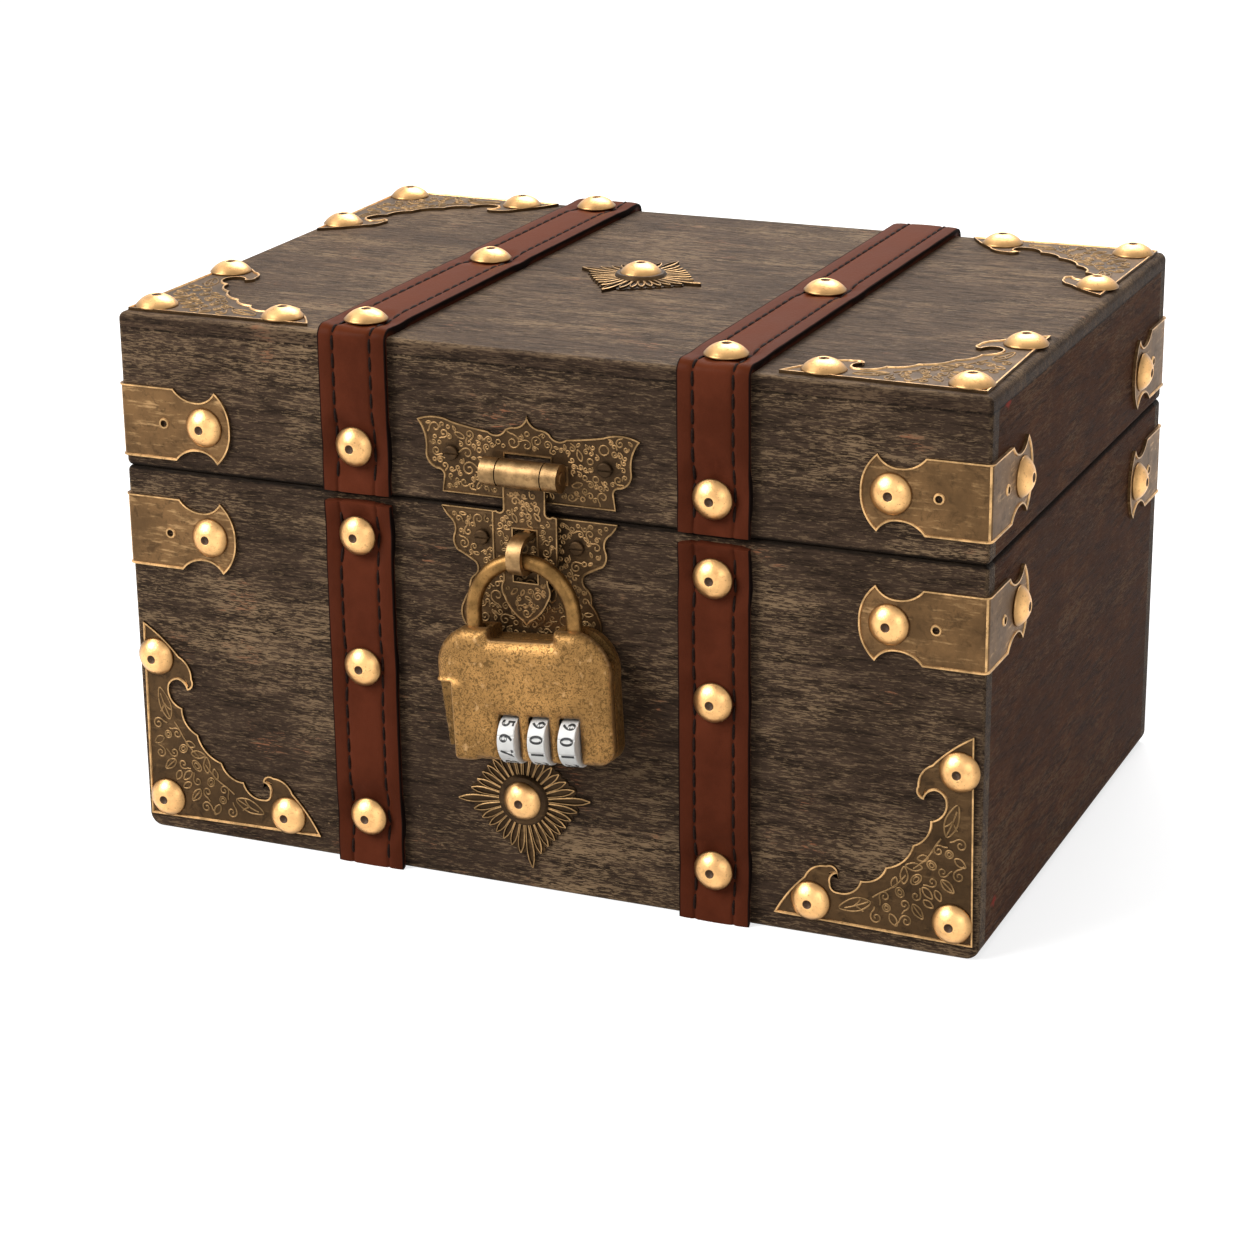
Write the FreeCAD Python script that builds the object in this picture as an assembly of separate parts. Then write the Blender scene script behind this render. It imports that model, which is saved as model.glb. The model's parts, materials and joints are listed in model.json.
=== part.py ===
import FreeCAD
import Part
import math
import os

from FreeCAD import Vector

# Treasure chest: wooden box with a hinged lid, leather straps, stamped brass
# fittings and a hanging combination padlock. All lengths are millimetres.
# X runs along the width, the front faces minus Y, Z is up. The origin lies at
# the middle of the flat underside. Front and back views share u for X, v for Z.

# Box
box_width = 228.0
box_depth = 155.0
box_height = 139.0
seam_height = 99.0
wall = 5.0
floor_board = 4.0
lid_board = 4.0
floor_corner_round = 3.5
lid_corner_round = 2.0
seam_corner_round = 1.5
outline_round = 1.0
overrun = 1.0
drawing_tolerance = 0.02

# Dome nails
nail_head_radius = 5.1
nail_head_height = 3.8
nail_dimple_radius = 0.9
nail_dimple_depth = 0.9
nail_shank_radius = 0.75
nail_shank_length = 4.6
nail_fit = 0.05

# Leather straps
strap_centre = box_width * 0.207
strap_width = box_width * 0.0807
strap_thickness = 2.5
strap_edge_round = 0.8
strap_bend_radius = 3.5
lid_strap_gap = 0.4
base_strap_gap = 2.4
base_strap_nail_left_shares = (0.894, 0.5455, 0.1364)
base_strap_nail_right_shares = (0.897, 0.581, 0.1394)
base_strap_nail_back_shares = (0.894, 0.1364)
lid_strap_nail_rise_left = 12.3
lid_strap_nail_rise_right = 9.4
lid_strap_nail_rise_back = 11.0
lid_strap_nail_left_shares = (-0.916, -0.006, 0.884)
lid_strap_nail_right_shares = (-0.916, -0.045)

# Corner brackets
plate_thickness = 0.8
bracket_height = 18.7
bracket_length = box_width * 0.136
bracket_nail_share = 0.758
bracket_hole_share = 0.387
bracket_hole_radius = 0.9
lid_bracket_rise_left = 12.2
lid_bracket_rise_right = 15.0
lid_bracket_rise_back = 13.2
base_bracket_drop = 16.7
bracket_outline_shares = (
    ((0.49, 1.0),),
    ((0.585, 0.75), (0.69, 0.68)),
    ((0.79, 0.75), (0.868, 1.0)),
    ((0.965, 0.58), (1.0, 0.0)),
)

# Scalloped corner plates
corner_plate_width = box_width * 0.221
corner_plate_height = seam_height * 0.54
base_plate_side_inset = 1.3
base_plate_bottom_inset = 3.8
lid_plate_inset = 2.0
corner_plate_shares = (
    ((1.0, 0.017),),
    ((0.93, 0.125), (0.845, 0.217)),
    ((0.80, 0.27), (0.735, 0.286)),
    ((0.69, 0.283), (0.675, 0.255)),
    ((0.705, 0.24), (0.712, 0.20)),
    ((0.70, 0.172), (0.675, 0.165)),
    ((0.601, 0.181), (0.561, 0.239)),
    ((0.480, 0.262), (0.4365, 0.323)),
    ((0.351, 0.368), (0.3036, 0.4505)),
    ((0.244, 0.495), (0.220, 0.5776)),
    ((0.159, 0.619), (0.150, 0.690)),
    ((0.172, 0.715), (0.20, 0.725)),
    ((0.24, 0.705), (0.255, 0.675)),
    ((0.283, 0.69), (0.286, 0.735)),
    ((0.27, 0.80), (0.217, 0.845)),
    ((0.125, 0.93), (0.017, 1.0)),
)
corner_plate_nail_shares = ((0.104, 0.098), (0.813, 0.101), (0.083, 0.828))

# Ribbed stars
star_radius = box_width * 0.0807
star_thickness = 1.0
star_boss_radius = 6.2
star_boss_height = 1.8
star_ribs = 32
star_valley_share = 0.93
star_rib_shares = (1.0, 0.80, 0.73, 0.70, 0.69, 0.70, 0.73, 0.80)
front_star_across = -4.2
front_star_height = seam_height * 0.2424
front_star_turn = 6.5
lid_star_across = -5.0
lid_star_depth = 1.0
lid_star_turn = -10.0

# Butterfly hasp
hasp_centre = -1.2
hasp_axis_rise = 10.6
hasp_axis_height = seam_height + hasp_axis_rise
hasp_axis_offset = 3.8
hasp_knuckle_radius = 3.5
hasp_pin_radius = 1.6
hasp_bore_radius = 1.65
hasp_centre_knuckle = 11.6
hasp_barrel_length = 20.4
hasp_knuckle_gap = 0.3
hasp_pin_proud = 0.4
upper_plate_half_width = box_width * 0.129
upper_plate_height = 21.3
upper_plate_rise = 3.1
upper_plate_bottom = seam_height + upper_plate_rise
upper_plate_shares = (
    ((0.035, 0.90), (0.11, 0.85)),
    ((0.16, 0.84), (0.20, 0.81)),
    ((0.27, 0.74), (0.35, 0.77)),
    ((0.52, 0.80), (0.68, 0.84)),
    ((0.86, 0.88), (1.0, 0.83)),
    ((0.935, 0.66), (0.925, 0.46)),
    ((0.90, 0.33), (0.82, 0.26)),
    ((0.765, 0.21), (0.765, 0.17)),
    ((0.78, 0.0),),
    ((0.0, 0.0),),
)
upper_screw_share = (0.69, 0.47)
lower_plate_half_width = box_width * 0.1022
lower_plate_height = 35.2
lower_plate_gap = 0.3
lower_plate_bottom = seam_height - lower_plate_gap - lower_plate_height
lower_plate_shares = (
    ((1.0, 1.0),),
    ((0.97, 0.955), (0.90, 0.905)),
    ((0.865, 0.87), (0.867, 0.80)),
    ((0.87, 0.72), (0.83, 0.68)),
    ((0.75, 0.655), (0.63, 0.61)),
    ((0.605, 0.57), (0.66, 0.51)),
    ((0.70, 0.46), (0.70, 0.40)),
    ((0.745, 0.36), (0.78, 0.31)),
    ((0.80, 0.19), (0.69, 0.10)),
    ((0.48, 0.02), (0.30, 0.07)),
    ((0.15, 0.02), (0.0, 0.0)),
)
lower_screw_share = (0.54, 0.80)
leaf_half_width = 8.6
leaf_length = 38.5
leaf_offset = 2.5
leaf_shares = (
    ((0.0, 0.932),),
    ((0.65, 0.932),),
    ((0.65, 0.765),),
    ((0.70, 0.738), (0.86, 0.742)),
    ((1.0, 0.735),),
    ((1.0, 0.45),),
    ((0.93, 0.385), (0.74, 0.345)),
    ((0.69, 0.305), (0.74, 0.265)),
    ((0.76, 0.22), (0.68, 0.175)),
    ((0.43, 0.085), (0.12, 0.03)),
)
slot_half_width_share = 0.37
slot_bottom_share = 0.288
slot_top_share = 0.636

# Staple
staple_height = hasp_axis_height - leaf_length * 0.5143
staple_half_height = 4.8
staple_thickness = 1.3
staple_width = 3.8
staple_length = 9.7
staple_foot_radius = 1.2

# Back hinges
hinge_centre = box_width * 0.307
hinge_width = box_width * 0.0965
hinge_leaf_height = 15.0
hinge_leaf_thickness = 1.0
hinge_knuckle_radius = 2.2
hinge_pin_radius = 1.0
hinge_bore_radius = 1.05
hinge_centre_knuckle = 8.0
hinge_knuckle_gap = 0.25
hinge_leaf_gap = 0.3
hinge_axis_clearance = 0.1
hinge_heel_length = 3.6
hinge_heel_thickness = 1.0
hinge_heel_drop = 0.3

# Small screws
screw_head_radius = 1.9
screw_head_height = 0.9
screw_shank_radius = 0.8
screw_shank_length = 4.6
screw_slot_width = 0.5
screw_slot_depth = 0.45

# Padlock, drawn upright about the top of its shackle and then hung at a tilt
lock_tilt = 4.6
lock_lean = 4.0
lock_offset = 6.25
shackle_wire_radius = 1.75
shackle_rest_gap = 0.5
shackle_bend_radius = 13.3
shackle_free_drop = 22.6
shackle_pivot_drop = 21.8
shackle_pivot_tail = 2.2
shackle_notch_drop = 20.6
shackle_notch_height = 2.2
shackle_notch_depth = 0.9
case_half_width = 23.0
case_top_drop = 16.4
case_bottom_drop = 49.6
case_half_depth = 5.3
case_wall = 1.3
case_top_half_share = 0.66
case_brow_drop = 28.6
case_lower_left_share = 0.80
case_foot_round = 4.5
case_edge_round = 1.6
recess_left_share = -0.37
recess_right_share = 0.39
recess_drop = 2.8
pivot_pin_radius = 0.8
pivot_pin_fit = 0.05
leg_fit = 0.2
leg_swing_room = 1.6
pivot_slot_drop = 24.8
dial_radius = 6.2
dial_width = 4.6
dial_pitch = 8.1
dial_centre = 3.8
dial_axle_drop = 44.4
dial_axle_radius = 1.2
dial_bore_radius = 1.25
dial_proud_round = 0.3
window_width = 5.5
window_top_drop = 37.9
window_fit = 0.45
dial_grooves = 10
dial_groove_radius = 0.35
lever_pivot_drop = 28.2
lever_pivot_across = 17.0
lever_pin_radius = 0.7
lever_bore_radius = 0.75
lever_half_depth = 3.4
lever_lower_drop = 46.6
lever_hook_gap = 0.5
lever_brow_gap = 0.3
lever_wall_gap = 0.5
lever_swing_room = 1.1
lever_hook_engagement = 0.7
lever_arm_width = 2.0
spring_strip_thickness = 0.4
spring_strip_gap = 1.0
rivet_radius = 1.0
rivet_head_radius = 1.7
rivet_head_height = 0.5

half_width = box_width / 2
half_depth = box_depth / 2
half_strap = strap_width / 2
front_dir = Vector(0, -1, 0)
back_dir = Vector(0, 1, 0)
left_dir = Vector(-1, 0, 0)
right_dir = Vector(1, 0, 0)
up_dir = Vector(0, 0, 1)
hinge_axis_depth = half_depth + hinge_knuckle_radius + hinge_axis_clearance


def span_box(low, high):
    """Block between two opposite corners."""
    size = high - low
    return Part.makeBox(size.x, size.y, size.z, low)


def rod(radius, start, end):
    """Round bar between two points."""
    run = end - start
    return Part.makeCylinder(radius, run.Length, start, run)


def joined(shapes):
    """One solid out of overlapping ones."""
    return shapes[0].fuse(shapes[1:]).removeSplitter()


def x_mirrored(shape):
    """Copy mirrored from side to side about the middle."""
    return shape.mirror(Vector(0, 0, 0), right_dir)


def outline_face(start, steps, place):
    """Flat face; a step of one point is a line, a step of two is an arc."""
    edges = []
    here = start
    for step in steps:
        end = step[-1]
        if place(*end).distanceToPoint(place(*start)) < drawing_tolerance:
            end = start
        if len(step) == 1:
            edges.append(Part.makeLine(place(*here), place(*end)))
        else:
            edges.append(Part.Arc(place(*here), place(*step[0]), place(*end)).toShape())
        here = end
    if here != start:
        edges.append(Part.makeLine(place(*here), place(*start)))
    return Part.Face(Part.Wire(edges))


def upright(u, v):
    """Point of a front view drawing."""
    return Vector(u, 0, v)


def profile(u, v):
    """Point of a side view drawing."""
    return Vector(0, u, v)


def scaled(shares, width, height):
    """Drawing steps given as shares, in millimetres."""
    return [[(u * width, v * height) for u, v in step] for step in shares]


def edges_along(shape, direction, test):
    """Straight edges of one direction whose middle passes a test."""
    picked = []
    for edge in shape.Edges:
        run = edge.Vertexes[-1].Point - edge.Vertexes[0].Point
        if edge.Curve.TypeId != "Part::GeomLine":
            continue
        if abs(run.normalize().dot(direction)) > math.cos(math.radians(1.0)):
            if test(edge.CenterOfMass):
                picked.append(edge)
    return picked


def face_outlines(shape, depth):
    """Edges of the shape that lie in one of the planes Y = depth and Y = -depth."""
    picked = []
    for edge in shape.Edges:
        depths = [vertex.Point.y for vertex in edge.Vertexes]
        if max(depths) - min(depths) > drawing_tolerance:
            continue
        if abs(abs(depths[0]) - depth) < drawing_tolerance:
            picked.append(edge)
    return picked


def seat(shape, point, direction):
    """Shape drawn on the Z axis, put on a surface and facing a direction."""
    copy = shape.copy()
    copy.Placement = FreeCAD.Placement(point, FreeCAD.Rotation(up_dir, direction))
    return copy


def dome_nail():
    """Domed upholstery nail with a punched dimple, head up on the origin."""
    dome = (nail_head_radius**2 + nail_head_height**2) / (2 * nail_head_height)
    centre = nail_head_height - dome
    rim = centre + math.sqrt(dome**2 - nail_dimple_radius**2)
    middle_radius = nail_head_radius * math.sqrt(0.5)
    middle = centre + math.sqrt(dome**2 - middle_radius**2)
    floor = rim - nail_dimple_depth
    tip = -nail_shank_length
    steps = (
        ((nail_shank_radius, tip + nail_shank_radius),),
        ((nail_shank_radius, 0.0),),
        ((nail_head_radius, 0.0),),
        ((middle_radius, middle), (nail_dimple_radius, rim)),
        ((0.0, floor),),
    )
    face = outline_face((0.0, tip), steps, upright)
    return face.revolve(Vector(0, 0, 0), up_dir, 360)


def small_screw():
    """Slotted pan head screw, head up on the origin."""
    head = Part.makeCylinder(screw_head_radius, screw_head_height)
    crown = edges_of_top(head)
    head = head.makeFillet(screw_head_height * 0.6, crown)
    shank = rod(screw_shank_radius, Vector(0, 0, -screw_shank_length), Vector(0, 0, screw_head_height / 2))
    half_slot = screw_slot_width / 2
    cut = span_box(
        Vector(-screw_head_radius, -half_slot, screw_head_height - screw_slot_depth),
        Vector(screw_head_radius, half_slot, screw_head_height + overrun),
    )
    return joined([head, shank]).cut(cut)


def edges_of_top(shape):
    """Edges of a turned blank that lie in its highest plane."""
    top = shape.BoundBox.ZMax
    return [edge for edge in shape.Edges if abs(edge.CenterOfMass.z - top) < drawing_tolerance]


def placed_nails(places):
    """Nails seated at (point, direction) pairs."""
    nail = dome_nail()
    return [seat(nail, point, direction) for point, direction in places]


def placed_screws(places):
    """Screws seated at (point, direction) pairs."""
    screw = small_screw()
    return [seat(screw, point, direction) for point, direction in places]


def drilled(shape, places, radius, length):
    """Shape with a round hole for every fastener that passes through it."""
    for point, direction in places:
        start = point + direction * overrun
        end = point - direction * (length + nail_fit)
        shape = shape.cut(rod(radius + nail_fit, start, end))
    return shape


def rounded_block(low, high, low_round, high_round):
    """Box with rounded corners in front view and eased front and back outlines."""
    block = span_box(Vector(-half_width, -half_depth, low), Vector(half_width, half_depth, high))
    middle = (low + high) / 2
    block = block.makeFillet(low_round, edges_along(block, back_dir, lambda p: p.z < middle))
    block = block.makeFillet(high_round, edges_along(block, back_dir, lambda p: p.z > middle))
    return block.makeFillet(outline_round, face_outlines(block, half_depth))


def wall_boxes(low, high):
    """Regions of the front, back, left and right boards between two heights."""
    inner = half_depth - wall
    front = span_box(Vector(-half_width, -half_depth, low), Vector(half_width, -inner, high))
    left = span_box(Vector(-half_width, -inner, low), Vector(wall - half_width, inner, high))
    return {
        "front": front,
        "back": front.mirror(Vector(0, 0, 0), back_dir),
        "left": left,
        "right": x_mirrored(left),
    }


# Places of the nails and screws

def front_face(u, v, height):
    return (Vector(u, -half_depth - height, v), front_dir)


def back_face(u, v, height):
    return (Vector(u, half_depth + height, v), back_dir)


def side_face(side, depth, v, height):
    return (Vector(side * (half_width + height), depth, v), right_dir * side)


def lid_face(u, depth, height):
    return (Vector(u, depth, box_height + height), up_dir)


def base_strap_places():
    places = []
    for share in base_strap_nail_left_shares:
        places.append(front_face(-strap_centre, seam_height * share, strap_thickness))
    for share in base_strap_nail_right_shares:
        places.append(front_face(strap_centre, seam_height * share, strap_thickness))
    for share in base_strap_nail_back_shares:
        places.append(back_face(-strap_centre, seam_height * share, strap_thickness))
        places.append(back_face(strap_centre, seam_height * share, strap_thickness))
    return places


def lid_strap_places():
    places = [
        front_face(-strap_centre, seam_height + lid_strap_nail_rise_left, strap_thickness),
        front_face(strap_centre, seam_height + lid_strap_nail_rise_right, strap_thickness),
        back_face(-strap_centre, seam_height + lid_strap_nail_rise_back, strap_thickness),
        back_face(strap_centre, seam_height + lid_strap_nail_rise_back, strap_thickness),
    ]
    for share in lid_strap_nail_left_shares:
        places.append(lid_face(-strap_centre, half_depth * share, strap_thickness))
    for share in lid_strap_nail_right_shares:
        places.append(lid_face(strap_centre, half_depth * share, strap_thickness))
    return places


def bracket_places(side, end, v):
    """Nails of the bracket on one corner: its end face leg, then its side leg."""
    across = side * (half_width - bracket_length * bracket_nail_share)
    depth = end * (half_depth - bracket_length * bracket_nail_share)
    if end < 0:
        first = front_face(across, v, plate_thickness)
    else:
        first = back_face(across, v, plate_thickness)
    return [first, side_face(side, depth, v, plate_thickness)]


def lid_bracket_height(side, end):
    """Height of the middle of a lid bracket; the four are not quite level."""
    if end > 0:
        return seam_height + lid_bracket_rise_back
    if side < 0:
        return seam_height + lid_bracket_rise_left
    return seam_height + lid_bracket_rise_right


corners = {"front_left": (-1, -1), "front_right": (1, -1), "back_left": (-1, 1), "back_right": (1, 1)}


def lid_bracket_places():
    places = []
    for side, end in corners.values():
        places += bracket_places(side, end, lid_bracket_height(side, end))
    return places


def base_bracket_places():
    places = []
    for side, end in corners.values():
        places += bracket_places(side, end, seam_height - base_bracket_drop)
    return places


def corner_plate_points():
    """Nail centres of a corner plate from its outer corner."""
    return [(u * corner_plate_width, v * corner_plate_height) for u, v in corner_plate_nail_shares]


def base_plate_places():
    places = []
    for side in (-1, 1):
        for u, v in corner_plate_points():
            across = side * (half_width - base_plate_side_inset - u)
            places.append(front_face(across, base_plate_bottom_inset + v, plate_thickness))
    return places


def lid_plate_places(side, end):
    places = []
    for u, v in corner_plate_points():
        across = side * (half_width - lid_plate_inset - u)
        depth = end * (half_depth - lid_plate_inset - v)
        places.append(lid_face(across, depth, plate_thickness))
    return places


def all_lid_plate_places():
    places = []
    for side, end in corners.values():
        places += lid_plate_places(side, end)
    return places


def front_star_place():
    return [front_face(front_star_across, front_star_height, star_boss_height)]


def lid_star_place():
    return [lid_face(lid_star_across, lid_star_depth, star_boss_height)]


def upper_screw_places():
    across = upper_screw_share[0] * upper_plate_half_width
    v = upper_plate_bottom + upper_screw_share[1] * upper_plate_height
    return [front_face(hasp_centre + side * across, v, plate_thickness) for side in (-1, 1)]


def lower_screw_places():
    across = lower_screw_share[0] * lower_plate_half_width
    v = lower_plate_bottom + lower_screw_share[1] * lower_plate_height
    return [front_face(hasp_centre + side * across, v, plate_thickness) for side in (-1, 1)]


def hinge_screw_places(upward):
    """Screws of both hinge leaves above or below the seam."""
    v = seam_height + upward * hinge_leaf_height * 0.6
    places = []
    for middle in (-hinge_centre, hinge_centre):
        for offset in (-hinge_width * 0.3, hinge_width * 0.3):
            places.append(back_face(middle + offset, v, hinge_leaf_thickness))
    return places


# Wooden boards

def base_nails():
    return base_strap_places() + base_bracket_places() + base_plate_places() + front_star_place()


def lid_nails():
    return lid_strap_places() + lid_bracket_places() + all_lid_plate_places() + lid_star_place()


def drilled_board(board, nails, screws):
    board = drilled(board, nails, nail_shank_radius, nail_shank_length)
    return drilled(board, screws, screw_shank_radius, screw_shank_length)


def staple_holes():
    """Holes of the two staple feet through the lower plate and the front board."""
    holes = []
    for v in (staple_foot_height(-1), staple_foot_height(1)):
        start = Vector(hasp_centre, -half_depth - plate_thickness - overrun, v)
        end = Vector(hasp_centre, -half_depth + wall + overrun, v)
        holes.append(rod(staple_foot_radius + nail_fit, start, end))
    return holes


def staple_foot_height(end):
    return staple_height + end * (staple_half_height - staple_thickness / 2)


def base_boards():
    body = rounded_block(0.0, seam_height, floor_corner_round, seam_corner_round)
    boards = {}
    screws = lower_screw_places() + hinge_screw_places(-1)
    for name, region in wall_boxes(0.0, seam_height).items():
        boards["base_%s_board" % name] = drilled_board(body.common(region), base_nails(), screws)
    for hole in staple_holes():
        boards["base_front_board"] = boards["base_front_board"].cut(hole)
    across = half_width - wall
    depth = half_depth - wall
    boards["base_bottom_board"] = span_box(Vector(-across, -depth, 0), Vector(across, depth, floor_board))
    return boards


def lid_boards():
    body = rounded_block(seam_height, box_height, seam_corner_round, lid_corner_round)
    underside = box_height - lid_board
    boards = {}
    screws = upper_screw_places() + hinge_screw_places(1)
    for name, region in wall_boxes(seam_height, underside).items():
        boards["lid_%s_rail" % name] = drilled_board(body.common(region), lid_nails(), screws)
    top = span_box(Vector(-half_width, -half_depth, underside), Vector(half_width, half_depth, box_height))
    boards["lid_top_board"] = drilled_board(body.common(top), lid_nails(), screws)
    return boards


# Leather straps

def base_strap():
    """Front strip of a body strap on the left, from the bottom to below the seam."""
    low = Vector(-strap_centre - half_strap, -half_depth - strap_thickness, 0)
    high = Vector(-strap_centre + half_strap, -half_depth, seam_height - base_strap_gap)
    strip = span_box(low, high)
    outer = edges_along(strip, up_dir, lambda p: p.y < -half_depth - strap_thickness / 2)
    return strip.makeFillet(strap_edge_round, outer)


def lid_strap():
    """Lid strap on the left: up the front, over the top and down the back."""
    bottom = seam_height + lid_strap_gap
    outer = half_depth + strap_thickness
    top = box_height + strap_thickness
    bend = strap_bend_radius
    slack = bend * (1 - math.sqrt(0.5))
    inner_bend = bend - strap_thickness
    inner_slack = inner_bend * (1 - math.sqrt(0.5))
    steps = (
        ((-outer, top - bend),),
        ((slack - outer, top - slack), (bend - outer, top)),
        ((outer - bend, top),),
        ((outer - slack, top - slack), (outer, top - bend)),
        ((outer, bottom),),
        ((half_depth, bottom),),
        ((half_depth, box_height - inner_bend),),
        ((half_depth - inner_slack, box_height - inner_slack), (half_depth - inner_bend, box_height)),
        ((inner_bend - half_depth, box_height),),
        ((inner_slack - half_depth, box_height - inner_slack), (-half_depth, box_height - inner_bend)),
        ((-half_depth, bottom),),
    )
    face = outline_face((-outer, bottom), steps, profile)
    strap = face.extrude(Vector(strap_width, 0, 0))
    strap.translate(Vector(-strap_centre - half_strap, 0, 0))
    return strap


def straps():
    base_places = base_strap_places()
    lid_places = lid_strap_places()
    front = base_strap()
    back = front.mirror(Vector(0, 0, 0), back_dir)
    lid = lid_strap()
    parts = {
        "base_strap_front_left": front,
        "base_strap_front_right": x_mirrored(front),
        "base_strap_back_left": back,
        "base_strap_back_right": x_mirrored(back),
    }
    for name in parts:
        parts[name] = drilled(parts[name], base_places, nail_shank_radius, nail_shank_length)
    for name, strap in (("lid_strap_left", lid), ("lid_strap_right", x_mirrored(lid))):
        parts[name] = drilled(strap, lid_places, nail_shank_radius, nail_shank_length)
    return parts


# Brackets and corner plates

def bracket_leg(outward, place):
    """One fishtailed leg, drawn from the corner towards its free end."""
    half = bracket_height / 2
    steps = scaled(bracket_outline_shares, bracket_length, half)
    back = []
    outline = [(0.0, half)] + [step[-1] for step in steps]
    for index in range(len(steps) - 1, -1, -1):
        step = [(u, -v) for u, v in reversed(steps[index][:-1])]
        start = outline[index]
        back.append(step + [(start[0], -start[1])])
    face = outline_face((0.0, half), steps + back, place)
    return face.extrude(outward * plate_thickness)


def bracket(side, end, v):
    """Bent strip round one vertical corner, with a fishtail on each leg."""
    corner_u = side * half_width
    corner_y = end * half_depth

    def end_leg(u, w):
        return Vector(corner_u - side * u, corner_y, v + w)

    def side_leg(u, w):
        return Vector(corner_u, corner_y - end * u, v + w)

    first = bracket_leg(back_dir * end, end_leg)
    second = bracket_leg(right_dir * side, side_leg)
    centre_u = corner_u - side * outline_round
    centre_y = corner_y - end * outline_round
    bend = ring_quarter(centre_u, centre_y, side, end, v)
    corner_block = quadrant(centre_u, centre_y, side, end, v)
    shape = joined([first.cut(corner_block), second.cut(corner_block), bend])
    for point, direction in bracket_places(side, end, v):
        along = bracket_length * (bracket_nail_share - bracket_hole_share)
        shift = Vector(side * along, 0, 0) if abs(direction.y) > abs(direction.x) else Vector(0, end * along, 0)
        start_point = point + shift + direction * overrun
        end_point = point + shift - direction * (plate_thickness + overrun)
        shape = shape.cut(rod(bracket_hole_radius, start_point, end_point))
    return shape


def quadrant(centre_u, centre_y, side, end, v):
    """Block that fills the corner outside the bend centre of a bracket."""
    reach = plate_thickness + outline_round + overrun
    low = Vector(min(centre_u, centre_u + side * reach), min(centre_y, centre_y + end * reach), v - bracket_height)
    high = Vector(max(centre_u, centre_u + side * reach), max(centre_y, centre_y + end * reach), v + bracket_height)
    return span_box(low, high)


def ring_quarter(centre_u, centre_y, side, end, v):
    """Quarter of a tube that joins the two legs of a bracket."""
    half = bracket_height / 2
    base = Vector(centre_u, centre_y, v - half)
    outer = Part.makeCylinder(outline_round + plate_thickness, bracket_height, base)
    hollow = Part.makeCylinder(outline_round, bracket_height, base)
    return outer.cut(hollow).common(quadrant(centre_u, centre_y, side, end, v))


def brackets():
    parts = {}
    for name, (side, end) in corners.items():
        height = lid_bracket_height(side, end)
        lid = bracket(side, end, height)
        base = bracket(side, end, seam_height - base_bracket_drop)
        parts["lid_bracket_" + name] = drilled(lid, lid_bracket_places(), nail_shank_radius, nail_shank_length)
        parts["base_bracket_" + name] = drilled(base, base_bracket_places(), nail_shank_radius, nail_shank_length)
    return parts


def corner_plate(place, outward):
    steps = scaled(corner_plate_shares, corner_plate_width, corner_plate_height)
    face = outline_face((0.0, 0.0), steps, place)
    return face.extrude(outward * plate_thickness)


def corner_plates():
    def lower_left(u, v):
        across = base_plate_side_inset + u - half_width
        return Vector(across, -half_depth, base_plate_bottom_inset + v)

    def lid_front_left(u, v):
        return Vector(lid_plate_inset + u - half_width, lid_plate_inset + v - half_depth, box_height)

    lower = corner_plate(lower_left, front_dir)
    upper = corner_plate(lid_front_left, up_dir)
    upper_back = upper.mirror(Vector(0, 0, 0), back_dir)
    lower_pair = {"base_corner_plate_left": lower, "base_corner_plate_right": x_mirrored(lower)}
    upper_set = {
        "lid_corner_plate_front_left": upper,
        "lid_corner_plate_front_right": x_mirrored(upper),
        "lid_corner_plate_back_left": upper_back,
        "lid_corner_plate_back_right": x_mirrored(upper_back),
    }
    parts = {}
    for name, plate in lower_pair.items():
        parts[name] = drilled(plate, base_plate_places(), nail_shank_radius, nail_shank_length)
    for name, plate in upper_set.items():
        parts[name] = drilled(plate, all_lid_plate_places(), nail_shank_radius, nail_shank_length)
    return parts


# Ribbed stars

def star():
    """Four pointed ribbed star with a raised boss, flat on the XY plane."""
    pitch = 2 * math.pi / star_ribs
    per_arm = len(star_rib_shares)

    def polar(radius, turn):
        return (radius * math.cos(turn), radius * math.sin(turn))

    def valley(index):
        before = star_rib_shares[index % per_arm]
        after = star_rib_shares[(index + 1) % per_arm]
        share = min((before + after) / 2, star_rib_shares[1])
        return polar(star_radius * share * star_valley_share, (index + 0.5) * pitch)

    steps = []
    for index in range(star_ribs):
        share = star_rib_shares[index % per_arm]
        tip = polar(star_radius * share, index * pitch)
        if index % per_arm == 0:
            steps += [[tip], [valley(index)]]
        else:
            steps.append([tip, valley(index)])
    face = outline_face(valley(-1), steps, lambda u, v: Vector(u, v, 0))
    plate = face.extrude(up_dir * star_thickness)
    boss = Part.makeCone(star_boss_radius + star_boss_height, star_boss_radius, star_boss_height)
    return joined([plate, boss])


def stars():
    flat = star()
    front = seat(flat, Vector(0, 0, 0), front_dir)
    front.rotate(Vector(0, 0, 0), front_dir, front_star_turn)
    front.translate(Vector(front_star_across, -half_depth, front_star_height))
    top = flat.copy()
    top.rotate(Vector(0, 0, 0), up_dir, lid_star_turn)
    top.translate(Vector(lid_star_across, lid_star_depth, box_height))
    return {
        "base_star": drilled(front, front_star_place(), nail_shank_radius, nail_shank_length),
        "lid_star": drilled(top, lid_star_place(), nail_shank_radius, nail_shank_length),
    }


# Nails and screws

def fasteners():
    return {
        "base_dome_nails": Part.makeCompound(placed_nails(base_nails())),
        "lid_dome_nails": Part.makeCompound(placed_nails(lid_nails())),
        "base_screws": Part.makeCompound(placed_screws(lower_screw_places() + hinge_screw_places(-1))),
        "lid_screws": Part.makeCompound(placed_screws(upper_screw_places() + hinge_screw_places(1))),
    }


# Butterfly hasp

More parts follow.
